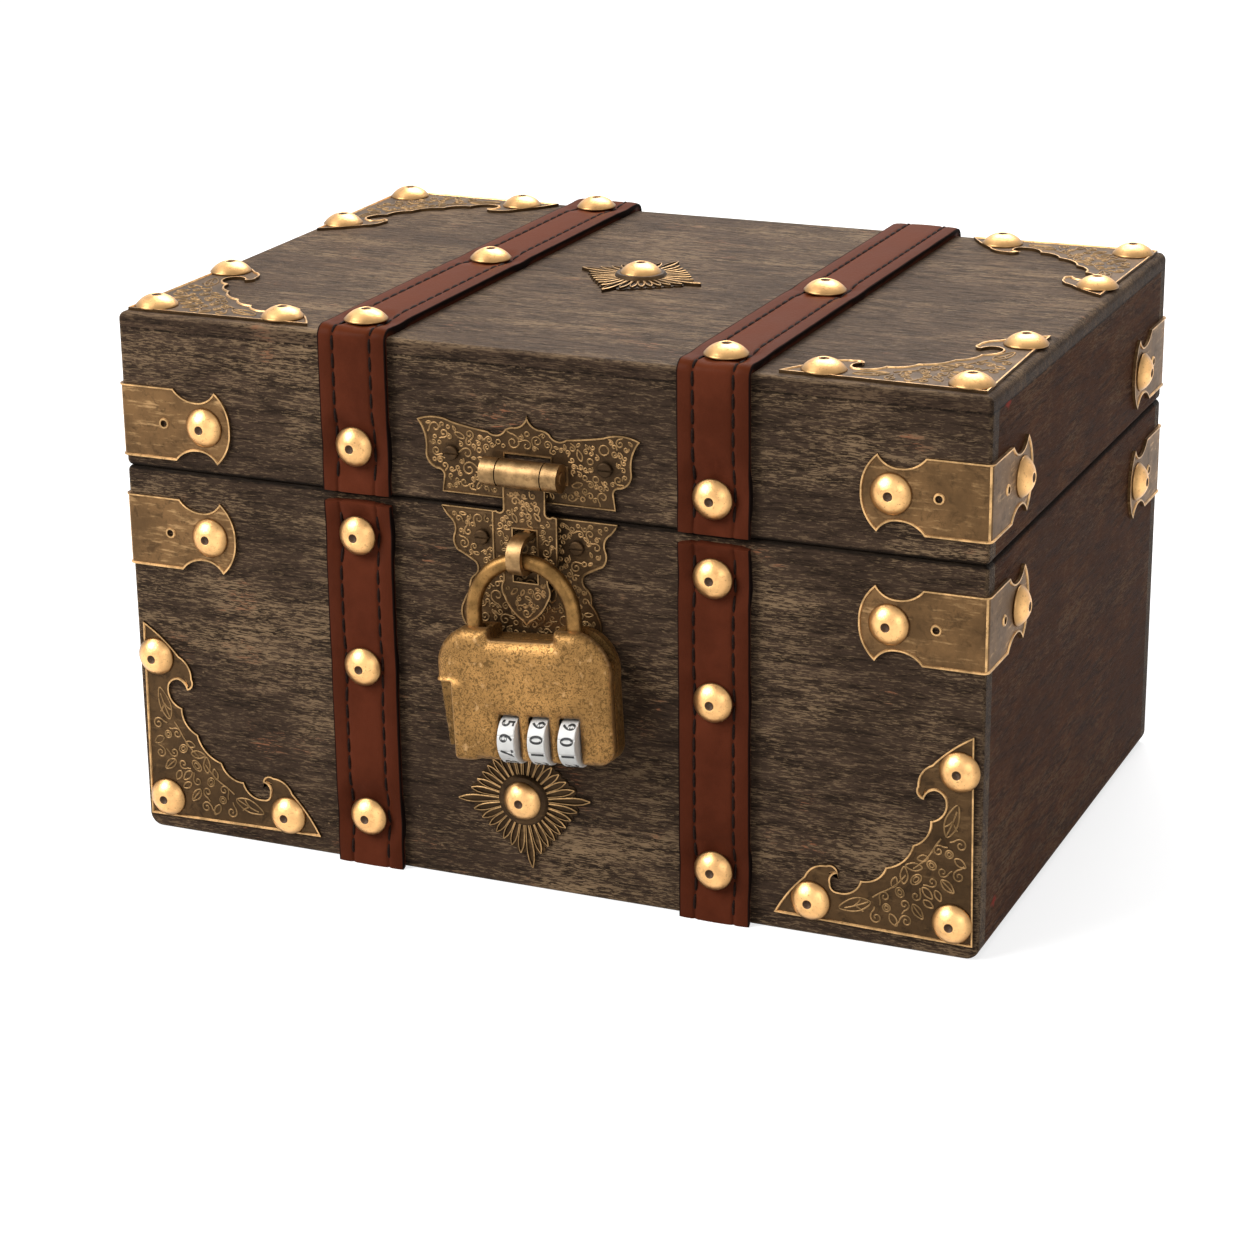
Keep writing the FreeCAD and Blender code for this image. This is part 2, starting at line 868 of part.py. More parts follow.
def symmetric_plate(start, steps):
    """Plate drawn as its right half and doubled about the middle line."""
    face = outline_face(start, steps, upright)
    half = face.extrude(front_dir * plate_thickness)
    return joined([half, x_mirrored(half)])


def on_front(shape, height, v):
    """Moves a drawing of the hasp to its place in front of the body."""
    shape.translate(Vector(hasp_centre, -half_depth - height, v))
    return shape


def hasp_axis(u):
    """Point on the hasp hinge line."""
    return Vector(hasp_centre + u, -half_depth - hasp_axis_offset, hasp_axis_height)


def hasp_bore():
    reach = hasp_barrel_length / 2 + overrun
    return rod(hasp_bore_radius, hasp_axis(-reach), hasp_axis(reach))


def hasp_upper_plate():
    steps = scaled(upper_plate_shares, upper_plate_half_width, upper_plate_height)
    plate = symmetric_plate((0.0, upper_plate_height), steps)
    plate = on_front(plate, 0.0, upper_plate_bottom)
    half_centre = hasp_centre_knuckle / 2
    outer = hasp_barrel_length / 2
    inner = half_centre + hasp_knuckle_gap
    room = hasp_knuckle_radius + hasp_knuckle_gap
    relief = span_box(
        hasp_axis(-inner) - Vector(0, room, room),
        Vector(hasp_centre + inner, -half_depth + overrun, hasp_axis_height + room),
    )
    shapes = [plate.cut(relief)]
    for start, end in ((-outer, -inner), (inner, outer)):
        knuckle = rod(hasp_knuckle_radius, hasp_axis(start), hasp_axis(end))
        low = hasp_axis(start) - Vector(0, 0, hasp_axis_offset)
        high = Vector(hasp_centre + end, -half_depth - plate_thickness / 2, hasp_axis_height)
        foot = span_box(low, high).common(rod(hasp_axis_offset, hasp_axis(start), hasp_axis(end)))
        shapes += [knuckle, foot]
    plate = joined(shapes).cut(hasp_bore())
    return drilled(plate, upper_screw_places(), screw_shank_radius, screw_shank_length)


def hasp_leaf():
    steps = scaled(leaf_shares, leaf_half_width, leaf_length)
    leaf = symmetric_plate((0.0, 0.0), steps)
    leaf = on_front(leaf, leaf_offset, hasp_axis_height - leaf_length)
    half = hasp_centre_knuckle / 2
    knuckle = rod(hasp_knuckle_radius, hasp_axis(-half), hasp_axis(half))
    leaf = joined([leaf, knuckle]).cut(hasp_bore())
    slot_half = slot_half_width_share * leaf_half_width
    bottom = hasp_axis_height - leaf_length * (1 - slot_bottom_share)
    top = hasp_axis_height - leaf_length * (1 - slot_top_share)
    slot = span_box(
        Vector(hasp_centre - slot_half, -half_depth - leaf_offset - plate_thickness - overrun, bottom),
        Vector(hasp_centre + slot_half, -half_depth, top),
    )
    return leaf.cut(slot)


def hasp_lower_plate():
    steps = scaled(lower_plate_shares, lower_plate_half_width, lower_plate_height)
    plate = symmetric_plate((0.0, lower_plate_height), steps)
    plate = on_front(plate, 0.0, lower_plate_bottom)
    for hole in staple_holes():
        plate = plate.cut(hole)
    return drilled(plate, lower_screw_places(), screw_shank_radius, screw_shank_length)


def staple():
    """Flat strip bent to a loop that stands out of the front, on two round feet."""
    straight = staple_length - staple_half_height
    blocks = []
    for radius, back in ((staple_half_height, 0.0), (staple_half_height - staple_thickness, -overrun)):
        steps = (
            ((straight, radius),),
            ((straight + radius, 0.0), (straight, -radius)),
            ((back, -radius),),
        )
        face = outline_face((back, radius), steps, lambda u, v: Vector(0, -u, v))
        blocks.append(face.extrude(right_dir * staple_width))
    loop = blocks[0].cut(blocks[1])
    loop.translate(Vector(hasp_centre - staple_width / 2, -half_depth - plate_thickness, staple_height))
    feet = []
    for end in (-1, 1):
        v = staple_foot_height(end)
        start = Vector(hasp_centre, -half_depth - plate_thickness - staple_thickness, v)
        stop = Vector(hasp_centre, -half_depth + wall, v)
        feet.append(rod(staple_foot_radius, start, stop))
    return joined([loop] + feet)


def hasp_pin():
    reach = hasp_barrel_length / 2 + hasp_pin_proud
    return rod(hasp_pin_radius, hasp_axis(-reach), hasp_axis(reach))


# Back hinges

def hinge_point(middle, offset):
    return Vector(middle + offset, hinge_axis_depth, seam_height)


def hinge_leaf(middle, upward, spans):
    """Leaf above (1) or below (-1) the seam with knuckles over the given spans."""
    near = hinge_knuckle_radius + hinge_leaf_gap
    half = hinge_width / 2
    heights = sorted((seam_height + upward * near, seam_height + upward * hinge_leaf_height))
    plate = span_box(
        Vector(middle - half, half_depth, heights[0]),
        Vector(middle + half, half_depth + hinge_leaf_thickness, heights[1]),
    )
    shapes = [plate]
    for start, end in spans:
        shapes.append(rod(hinge_knuckle_radius, hinge_point(middle, start), hinge_point(middle, end)))
        reach = sorted((seam_height, seam_height + upward * near))
        shapes.append(span_box(
            Vector(middle + start, half_depth, reach[0]),
            Vector(middle + end, half_depth + hinge_leaf_thickness, reach[1]),
        ))
        if upward > 0:
            shapes.append(stop_heel(middle, start, end))
    bore = rod(hinge_bore_radius, hinge_point(middle, -hinge_width), hinge_point(middle, hinge_width))
    return joined(shapes).cut(bore)


def stop_heel(middle, start, end):
    """Tooth behind a lid knuckle that meets the base leaf when the lid is open."""
    low = hinge_point(middle, start) + Vector(0, hinge_bore_radius, -hinge_heel_drop)
    high = hinge_point(middle, end) + Vector(0, hinge_heel_length, hinge_heel_thickness - hinge_heel_drop)
    return span_box(low, high)


def hinges():
    half = hinge_width / 2
    inner = hinge_centre_knuckle / 2
    base_leaves = []
    lid_leaves = []
    pins = []
    for middle in (-hinge_centre, hinge_centre):
        outer_spans = ((-half, -inner - hinge_knuckle_gap), (inner + hinge_knuckle_gap, half))
        base_leaf = hinge_leaf(middle, -1, ((-inner, inner),))
        lid_leaf = hinge_leaf(middle, 1, outer_spans)
        screw = (screw_shank_radius, screw_shank_length)
        base_leaves.append(drilled(base_leaf, hinge_screw_places(-1), *screw))
        lid_leaves.append(drilled(lid_leaf, hinge_screw_places(1), *screw))
        pins.append(rod(hinge_pin_radius, hinge_point(middle, -half), hinge_point(middle, half)))
    return {
        "hinge_base_leaf_left": base_leaves[0],
        "hinge_base_leaf_right": base_leaves[1],
        "hinge_lid_leaf_left": lid_leaves[0],
        "hinge_lid_leaf_right": lid_leaves[1],
        "hinge_pins": Part.makeCompound(pins),
    }


# Padlock

def lock_box(u_span, depth_span, drop_span):
    """Block of the padlock drawing: across, towards the front, below the shackle top."""
    low = Vector(u_span[0], -depth_span[1], -drop_span[1])
    high = Vector(u_span[1], -depth_span[0], -drop_span[0])
    return span_box(low, high)


def shackle():
    """Bent wire: long leg with a cross hole on the right, notched leg on the left."""
    bend = shackle_bend_radius
    wire = shackle_wire_radius
    arch = Part.makeTorus(bend, wire, Vector(0, 0, -bend), front_dir)
    reach = bend + wire + overrun
    upper = lock_box((-reach, reach), (-reach, reach), (-reach, bend))
    right_leg = rod(wire, Vector(bend, 0, -bend), Vector(bend, 0, -shackle_pivot_drop - shackle_pivot_tail))
    left_leg = rod(wire, Vector(-bend, 0, -bend), Vector(-bend, 0, -shackle_free_drop))
    shape = joined([arch.common(upper), right_leg, left_leg])
    hole = cross_pin(bend, shackle_pivot_drop, pivot_pin_radius + pivot_pin_fit, reach)
    notch = lock_box(
        (-bend - wire - overrun, -bend - wire + shackle_notch_depth),
        (-reach, reach),
        (shackle_notch_drop - shackle_notch_height / 2, shackle_notch_drop + shackle_notch_height / 2),
    )
    return shape.cut(hole).cut(notch)


def cross_pin(across, drop, radius, half_length):
    """Round bar through the padlock from front to back."""
    return rod(radius, Vector(across, half_length, -drop), Vector(across, -half_length, -drop))


def case_outline():
    """Front view of the case: shouldered top, brow over the lever, rounded foot."""
    half = case_half_width
    top = -case_top_drop
    bottom = -case_bottom_drop
    shoulder = half * case_top_half_share
    brow = -case_brow_drop
    lean = half * math.sqrt(0.75)
    foot = case_foot_round
    slack = foot * (1 - math.sqrt(0.5))
    height = case_brow_drop - case_top_drop
    shoulder_top = top - height * 0.22
    return (shoulder, top), (
        ((lean, shoulder_top), (half, brow)),
        ((half, bottom + foot),),
        ((half - slack, bottom + slack), (half - foot, bottom)),
        ((foot - half, bottom),),
        ((slack - half, bottom + slack), (-half, bottom + foot)),
        ((-half, brow),),
        ((-lean, shoulder_top), (-shoulder, top)),
    )


def case_body():
    """Outside of the whole case with eased front and back outlines."""
    start, steps = case_outline()
    face = outline_face(start, steps, upright)
    body = face.extrude(front_dir * (2 * case_half_depth))
    body.translate(Vector(0, case_half_depth, 0))
    return body.makeFillet(case_edge_round, face_outlines(body, case_half_depth))


def dial_centres():
    return [dial_centre + step * dial_pitch for step in (-1, 0, 1)]


def case_room():
    """Everything that is hollow or cut away in the padlock case."""
    half = case_half_width
    inner = case_half_depth - case_wall
    reach = case_half_depth + overrun
    wire_room = shackle_wire_radius + leg_fit
    bend = shackle_bend_radius
    top = case_top_drop
    lever_edge = half * case_lower_left_share
    lever_left = lever_pivot_across + lever_arm_width / 2 + lever_swing_room
    tail_room = math.hypot(shackle_wire_radius, shackle_pivot_tail) + leg_fit
    far = half + overrun
    rooms = [
        # Recess in the middle of the top edge
        lock_box((half * recess_left_share, half * recess_right_share), (-reach, reach), (0.0, top + recess_drop)),
        # Hollow round the dials
        lock_box((-lever_edge + case_wall, half - 2 * case_wall), (-inner, inner),
                 (pivot_slot_drop + case_wall, case_bottom_drop - case_wall)),
        # Room of the lever behind the brow and along the open left side
        lock_box((-lever_left, -bend + wire_room), (-inner, inner),
                 (shackle_notch_drop - shackle_notch_height / 2 - leg_fit, case_brow_drop + case_wall)),
        lock_box((-far, case_wall - lever_edge), (-inner, inner),
                 (case_brow_drop, case_bottom_drop + overrun)),
        lock_box((-far, -lever_edge), (-reach, reach), (case_brow_drop + case_wall, case_bottom_drop + overrun)),
        # Way of the free leg
        lock_box((-bend - wire_room, wire_room + leg_swing_room - bend), (-wire_room, wire_room),
                 (0.0, case_brow_drop)),
        # Slot in which the pivoted leg leans over
        lock_box((bend - wire_room, far), (-wire_room, wire_room), (0.0, pivot_slot_drop)),
        lock_box((bend - tail_room, bend), (-wire_room, wire_room),
                 (shackle_pivot_drop - shackle_wire_radius / 2, pivot_slot_drop)),
    ]
    for centre in dial_centres():
        span = (centre - window_width / 2, centre + window_width / 2)
        rooms.append(lock_box(span, (-reach, reach), (window_top_drop, case_bottom_drop + overrun)))
    axle_start, axle_end = dial_axle_ends()
    rooms.append(rod(dial_axle_radius + pivot_pin_fit, axle_start, axle_end))
    rooms.append(cross_pin(bend, shackle_pivot_drop, pivot_pin_radius + pivot_pin_fit, inner + case_wall / 2))
    rooms.append(cross_pin(-lever_pivot_across, lever_pivot_drop, lever_pin_radius + pivot_pin_fit,
                           inner + case_wall / 2))
    for across, drop in rivet_points():
        rooms.append(cross_pin(across, drop, rivet_radius + pivot_pin_fit, case_half_depth - case_wall / 2))
        rooms.append(rod(rivet_radius + pivot_pin_fit, Vector(across, 0, -drop), Vector(across, reach, -drop)))
    return rooms


def dial_axle_ends():
    """Ends of the dial axle, held in the ribs of the case."""
    low = dial_centres()[0] - window_width / 2 - 2 * case_wall
    high = dial_centres()[-1] + window_width / 2 + 2 * case_wall
    return Vector(low, 0, -dial_axle_drop), Vector(high, 0, -dial_axle_drop)


def dial_ribs():
    """Walls inside the case that stand between the dials and carry the axle."""
    ribs = []
    inner = case_half_depth - case_wall / 2
    edges = [dial_centres()[0] - dial_pitch] + dial_centres()
    for centre in edges:
        middle = centre + dial_pitch / 2
        half = (dial_pitch - window_width) / 2 - window_fit / 2
        ribs.append(lock_box((middle - half, middle + half), (-inner, inner),
                             (dial_axle_drop - 2 * case_wall, case_bottom_drop - case_wall / 2)))
    return ribs


def rivet_points():
    """Centres of the two rivets that hold the case halves together."""
    inset = case_half_width - 2 * case_wall - rivet_head_radius / 2
    return ((inset, dial_axle_drop), (-shackle_bend_radius / 3, (pivot_slot_drop + case_top_drop + recess_drop) / 2))


def lock_cases():
    """Front and back halves of the case, parted in the middle plane."""
    body = case_body()
    rooms = case_room()
    hollow = body.cut(rooms)
    ribs = [rib.common(body) for rib in dial_ribs()]
    axle_start, axle_end = dial_axle_ends()
    shape = hollow.fuse(ribs).cut(rod(dial_axle_radius + pivot_pin_fit, axle_start, axle_end))
    far = 2 * case_half_width
    front = shape.common(lock_box((-far, far), (0.0, far), (0.0, 2 * far)))
    back = shape.common(lock_box((-far, far), (-far, 0.0), (0.0, 2 * far)))
    return front.removeSplitter(), back.removeSplitter()


def lock_dial(centre):
    """Number wheel with shallow grooves between its ten figures."""
    half = dial_width / 2
    start = Vector(centre - half, 0, -dial_axle_drop)
    end = Vector(centre + half, 0, -dial_axle_drop)
    wheel = rod(dial_radius, start, end)
    rims = [edge for edge in wheel.Edges if edge.Curve.TypeId == "Part::GeomCircle"]
    wheel = wheel.makeFillet(dial_proud_round, rims)
    step = 360.0 / dial_grooves
    for index in range(dial_grooves):
        turn = math.radians((index + 0.5) * step)
        offset = Vector(0, math.cos(turn), math.sin(turn)) * (dial_radius + dial_groove_radius / 2)
        wheel = wheel.cut(rod(dial_groove_radius, start + offset, end + offset))
    return wheel.cut(rod(dial_bore_radius, start - right_dir * overrun, end + right_dir * overrun))


def lock_lever():
    """Rocker on the left edge; its hook holds the notched leg of the shackle."""
    pivot = -lever_pivot_across
    arm = lever_arm_width
    top = lever_hook_gap - shackle_notch_drop - shackle_notch_height / 2
    hook = shackle_notch_height - 2 * lever_hook_gap
    nose = lever_hook_engagement - shackle_bend_radius - shackle_wire_radius
    brow = -case_brow_drop - case_wall - lever_brow_gap
    inner = case_wall - case_half_width * case_lower_left_share
    steps = (
        ((nose, top),),
        ((nose, top + hook),),
        ((pivot - arm / 2, top + hook),),
        ((pivot - arm / 2, brow),),
        ((-case_half_width * 0.985, brow),),
        ((-case_half_width * 0.92, -lever_lower_drop),),
        ((inner - lever_arm_width, -lever_lower_drop),),
        ((inner - lever_wall_gap, brow),),
        ((pivot + arm / 2, -lever_pivot_drop),),
    )
    face = outline_face((pivot + arm / 2, top), steps, upright)
    lever = face.extrude(front_dir * (2 * lever_half_depth))
    lever.translate(Vector(0, lever_half_depth, 0))
    boss = cross_pin(pivot, lever_pivot_drop, arm * 0.6, lever_half_depth)
    bore = cross_pin(pivot, lever_pivot_drop, lever_bore_radius, case_half_depth)
    hook_trim = lock_box((-shackle_bend_radius - shackle_wire_radius - leg_fit, 0.0),
                         (shackle_wire_radius, case_half_depth), (0.0, case_brow_drop))
    back_trim = hook_trim.mirror(Vector(0, 0, 0), back_dir)
    return joined([lever, boss]).cut(bore).cut(hook_trim).cut(back_trim)


def lever_spring():
    """Flat spring behind the lever, bent from one strip and held by a case wall."""
    rest = case_wall - case_half_width * case_lower_left_share + spring_strip_gap
    inner = case_half_depth - case_wall
    low = case_brow_drop + 2 * case_wall
    return lock_box((rest, rest + spring_strip_thickness), (-inner, inner), (low, low + 4 * case_wall))


def rivets():
    shapes = []
    for across, drop in rivet_points():
        reach = case_half_depth - case_wall / 2
        shank = rod(rivet_radius, Vector(across, -reach, -drop), Vector(across, case_half_depth, -drop))
        head = rod(rivet_head_radius, Vector(across, case_half_depth, -drop),
                   Vector(across, case_half_depth + rivet_head_height, -drop))
        shapes.append(joined([shank, head]))
    return Part.makeCompound(shapes)


def hung(shape):
    """Padlock piece turned and moved to where it hangs on the staple."""
    wire_height = staple_height - staple_half_height + staple_thickness + shackle_rest_gap + shackle_wire_radius
    tilt = FreeCAD.Rotation(front_dir, lock_tilt)
    lean = FreeCAD.Rotation(left_dir, lock_lean)
    copy = shape.copy()
    point = Vector(hasp_centre, -half_depth - lock_offset, wire_height)
    copy.Placement = FreeCAD.Placement(point, lean.multiply(tilt))
    return copy


def padlock():
    front, back = lock_cases()
    inner = case_half_depth - case_wall / 2
    axle_start, axle_end = dial_axle_ends()
    parts = {
        "lock_shackle": shackle(),
        "lock_case_front": front,
        "lock_case_back": back,
        "lock_rivets": rivets(),
        "lock_dial_axle": rod(dial_axle_radius, axle_start, axle_end),
        "lock_pivot_pin": cross_pin(shackle_bend_radius, shackle_pivot_drop, pivot_pin_radius, inner),
        "lock_lever": lock_lever(),
        "lock_lever_pin": cross_pin(-lever_pivot_across, lever_pivot_drop, lever_pin_radius, inner),
        "lock_lever_spring": lever_spring(),
    }
    for index, centre in enumerate(dial_centres()):
        parts["lock_dial_%d" % (index + 1)] = lock_dial(centre)
    return {name: hung(shape) for name, shape in parts.items()}


def hasp():
    return {
        "hasp_upper_plate": hasp_upper_plate(),
        "hasp_leaf": hasp_leaf(),
        "hasp_pin": hasp_pin(),
        "hasp_lower_plate": hasp_lower_plate(),
        "staple": staple(),
    }


def main():
    os.makedirs("parts", exist_ok=True)
    for group in (base_boards, lid_boards, straps, brackets, corner_plates, stars, fasteners, hasp, hinges, padlock):
        for name, shape in group().items():
            shape.exportStep("parts/%s.step" % name)


main()
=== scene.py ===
import json
import math
import random

import bmesh
import bpy
import numpy
from mathutils import Matrix, Vector
from mathutils.bvhtree import BVHTree


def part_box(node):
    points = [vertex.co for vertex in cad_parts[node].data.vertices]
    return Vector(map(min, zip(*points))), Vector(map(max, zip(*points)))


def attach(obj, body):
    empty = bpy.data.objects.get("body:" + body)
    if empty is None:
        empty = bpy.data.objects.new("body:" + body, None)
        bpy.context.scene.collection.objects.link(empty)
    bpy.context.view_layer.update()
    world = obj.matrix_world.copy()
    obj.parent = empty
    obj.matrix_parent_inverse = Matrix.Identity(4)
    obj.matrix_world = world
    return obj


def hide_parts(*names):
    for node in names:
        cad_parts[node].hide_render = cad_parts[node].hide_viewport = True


bl_info = {
    "name": "Treasure Chest",
    "version": (1, 0, 0),
    "blender": (4, 5, 0),
    "location": "3D View > Sidebar > Chest",
    "description": "Builds the leather, brass and padlock details of a small wooden treasure chest",
    "category": "Object",
}

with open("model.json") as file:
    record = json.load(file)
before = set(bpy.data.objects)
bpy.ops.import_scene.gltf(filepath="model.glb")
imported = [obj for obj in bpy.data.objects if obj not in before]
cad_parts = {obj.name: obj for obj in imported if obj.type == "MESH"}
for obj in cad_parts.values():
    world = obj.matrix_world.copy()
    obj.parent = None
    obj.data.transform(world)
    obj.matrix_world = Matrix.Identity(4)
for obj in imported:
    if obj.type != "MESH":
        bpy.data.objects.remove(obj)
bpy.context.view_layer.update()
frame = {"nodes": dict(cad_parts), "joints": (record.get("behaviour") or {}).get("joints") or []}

MM = 0.001

# Sizes read from the fixed frame
board_low, board_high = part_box("base_front_board")
top_low, top_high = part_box("lid_top_board")
HALF_WIDTH = board_high.x
HALF_DEPTH = -board_low.y
SEAM = board_high.z
HEIGHT = top_high.z
STRAP_LOW, STRAP_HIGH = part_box("base_strap_front_right")
LID_STRAP_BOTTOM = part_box("lid_strap_right")[0].z
STRAP_CENTRE = (STRAP_LOW.x + STRAP_HIGH.x) / 2
STRAP_HALF = (STRAP_HIGH.x - STRAP_LOW.x) / 2
STRAP_RISE = -STRAP_LOW.y - HALF_DEPTH


# User settings

def length(name, description, default):
    """A length in metres that the user can change."""
    return bpy.props.FloatProperty(name=name, description=description, default=default * MM, precision=5,
                                   unit="LENGTH", subtype="DISTANCE", min=0.0)


def colour(name, description, default):
    """A colour that the user can change."""
    return bpy.props.FloatVectorProperty(name=name, description=description, default=(*default, 1.0), size=4,
                                         subtype="COLOR", min=0.0, max=1.0)


class ChestSizes(bpy.types.PropertyGroup):
    """Lengths of the details that are added to the fixed frame."""
    nail_radius: length("Nail radius", "Radius of a dome nail's head", 5.1)
    nail_height: length("Nail height", "Height of a dome nail's head", 2.8)
    nail_seat: length("Nail seat", "Distance from a nail's highest point in the frame to its seat", 3.8)
    dimple_radius: length("Dimple radius", "Radius of the punch mark on a nail", 1.0)
    bend_radius: length("Strap bend", "Outer radius of the lid strap's bends", 3.5)
    seam_offset: length("Stitch offset", "Distance of each stitched row from the strap's middle", 5.1)
    stitch_pitch: length("Stitch pitch", "Distance between the holes of a stitched row", 4.6)
    thread_radius: length("Thread radius", "Radius of the sewing thread", 0.40)
    pucker_depth: length("Pucker depth", "How far a nail pulls the leather in", 0.7)
    rim_width: length("Rim width", "Width of the raised rim of a stamped plate", 0.55)
    rim_height: length("Rim height", "Height of the rim above the plate's floor", 0.3)
    scroll_radius: length("Scroll wire", "Radius of the embossed scroll lines", 0.24)
    case_round: length("Case rounding", "Width of the padlock's rounded edge", 4.4)
    case_fall: length("Case fall", "How far the rounded edge falls back", 2.7)
    case_bulge: length("Case bulge", "How far the case's front bulges across its width", 0.9)
    shackle_swell: length("Shackle swell", "Extra thickness of the shackle's plating", 0.25)


class ChestColours(bpy.types.PropertyGroup):
    """Colours of the chest's finishes."""
    wood: colour("Wood", "Stained wood", (0.062, 0.0385, 0.026))
    wood_worn: colour("Worn wood", "Rubbed grain and edges", (0.25, 0.165, 0.092))
    side_wood: colour("Side wood", "Smoother stained wood of the ends", (0.076, 0.027, 0.011))
    # Lid's top wood: lighter than the front as painted light from above
    lit_top_wood: colour("Top wood", "Wood of the lid's top, lighter with painted light from above", (0.092, 0.058, 0.038))
    leather: colour("Leather", "Strap face", (0.100, 0.0235, 0.0105))
    leather_edge: colour("Leather edge", "Painted cut edge of a strap", (0.010, 0.006, 0.005))
    thread: colour("Thread", "Sewing thread", (0.014, 0.006, 0.004))
    nail_brass: colour("Nail brass", "Satin brass of the nails", (0.90, 0.51, 0.205))
    plate_brass: colour("Plate brass", "Antiqued brass of the fittings", (0.19, 0.102, 0.040))
    bright_brass: colour("Bright brass", "Rubbed high edges", (0.62, 0.375, 0.165))
    bronze: colour("Bronze", "Padlock case", (0.36, 0.192, 0.062))
    dial: colour("Wheel paint", "White paint of the number wheels", (0.80, 0.79, 0.76))
    figures: colour("Figures", "Dark paint of the figures", (0.02, 0.02, 0.02))
    steel: colour("Steel", "Pins and springs", (0.42, 0.40, 0.36))


# Shader expressions

class Value:
    """A socket of a material, with sums written as expressions."""

    def __init__(self, paint, socket):
        self.paint = paint
        self.socket = socket

    def sum(self, operation, other=0.0, swap=False):
        first, second = (other, self) if swap else (self, other)
        return self.paint.node("ShaderNodeMath", {"operation": operation}, {0: first, 1: second})

    def __add__(self, other):
        return self.sum("ADD", other)

    def __sub__(self, other):
        return self.sum("SUBTRACT", other)

    def __rsub__(self, other):
        return self.sum("SUBTRACT", other, True)

    def __mul__(self, other):
        return self.sum("MULTIPLY", other)

    __radd__ = __add__
    __rmul__ = __mul__

    def least(self, other):
        return self.sum("MINIMUM", other)

    def most(self, other):
        return self.sum("MAXIMUM", other)

    def size(self):
        return self.sum("ABSOLUTE")

    def ease(self, low, high):
        """0 at the first value and 1 at the second, smooth between them."""
        return self.paint.node("ShaderNodeMapRange", {"interpolation_type": "SMOOTHSTEP", "clamp": True},
                               {"Value": self, "From Min": low, "From Max": high})


class Paint:
    """A material under construction."""

    def __init__(self, name, **constants):
        self.material = bpy.data.materials.new(name)
        self.material.use_nodes = True
        self.tree = self.material.node_tree
        self.tree.nodes.clear()
        self.shader = self.tree.nodes.new("ShaderNodeBsdfPrincipled")
        output = self.tree.nodes.new("ShaderNodeOutputMaterial")
        self.tree.links.new(self.shader.outputs[0], output.inputs[0])
        for key, value in constants.items():
            self.shader.inputs[key.replace("_", " ")].default_value = value

    def node(self, kind, settings=None, inputs=None, out=0):
        """A node of that type with its settings made first, then its values and links."""
        made = self.tree.nodes.new(kind)
        for key, value in (settings or {}).items():
            setattr(made, key, value)
        for key, value in (inputs or {}).items():
            self.put(made.inputs[key], value)
        return Value(self, made.outputs[out])

    def put(self, socket, value):
        if isinstance(value, Value):
            self.tree.links.new(value.socket, socket)
        else:
            socket.default_value = value

    def place(self, scale=(1.0, 1.0, 1.0), turn=(0.0, 0.0, 0.0), shift=(0.0, 0.0, 0.0)):
        """Object coordinates in metres, stretched and turned."""
        coordinates = self.node("ShaderNodeTexCoord", out="Object")
        return self.node("ShaderNodeMapping", {}, {"Vector": coordinates, "Scale": scale, "Rotation": turn,
                                                   "Location": shift})

    def axes(self):
        """The three object coordinates as numbers."""
        coordinates = self.node("ShaderNodeTexCoord", out="Object")
        return [self.node("ShaderNodeSeparateXYZ", {}, {"Vector": coordinates}, out=index) for index in range(3)]

    def noise(self, vector, scale, detail=3.0, rough=0.55, twist=0.0):
        return self.node("ShaderNodeTexNoise", {}, {"Vector": vector, "Scale": scale, "Detail": detail,
                                                    "Roughness": rough, "Distortion": twist})

    def cells(self, vector, scale):
        return self.node("ShaderNodeTexVoronoi", {}, {"Vector": vector, "Scale": scale}, out="Distance")

    def mix(self, share, first, second, kind="MIX"):
        """Colour mixed from the first to the second by the share."""
        return self.node("ShaderNodeMix", {"data_type": "RGBA", "blend_type": kind},
                         {"Factor": share, 6: first, 7: second}, out=2)

    def coats(self, tone, start, *layers):
        """Colour that starts as a shade of the tone and is mixed by each share with a shade or colour."""
        base = shade(tone, start)
        for share, coat in layers:
            base = self.mix(share, base, shade(tone, coat) if isinstance(coat, float) else coat)
        return base

    def bump(self, height, depth, strength=1.0):
        return self.node("ShaderNodeBump", {}, {"Height": height, "Distance": depth * MM, "Strength": strength})

    def finish(self, **links):
        for key, value in links.items():
            self.put(self.shader.inputs[key.replace("_", " ")], value)
        return self.material


def shade(tone, share):
    """A colour made lighter or darker."""
    return (*[min(1.0, part * share) for part in tone[:3]], 1.0)


# Finishes

# Near black: painted shade in the seam between lid and base, and the dark joint line under the lid's top board
SEAM_SHADE_AND_JOINT_BLACK = (0.006, 0.004, 0.003, 1.0)
RUBBED_RED = (0.30, 0.045, 0.03, 1.0)
# Depth and height of the red rubbed marks on the right end
END_MARKS = ((-0.0655, 0.1345), (-0.0660, 0.0110))
# Leather on the lid's top, lighter and more orange as painted light from above, and where its sewn rows run
LIT_TOP_LEATHER = (0.115, 0.025, 0.006, 1.0)
SEWN_AT = 0.0051


def edge_distance(paint):
    """Distance along the surface from the nearest outer edge of the box."""
    x, y, z = paint.axes()
    across = HALF_WIDTH - x.size()
    deep = HALF_DEPTH - y.size()
    high = z.least((z - SEAM).size() + 0.0009).least((z - HEIGHT).size())
    return across.least(deep).most(across.most(deep).least(high))


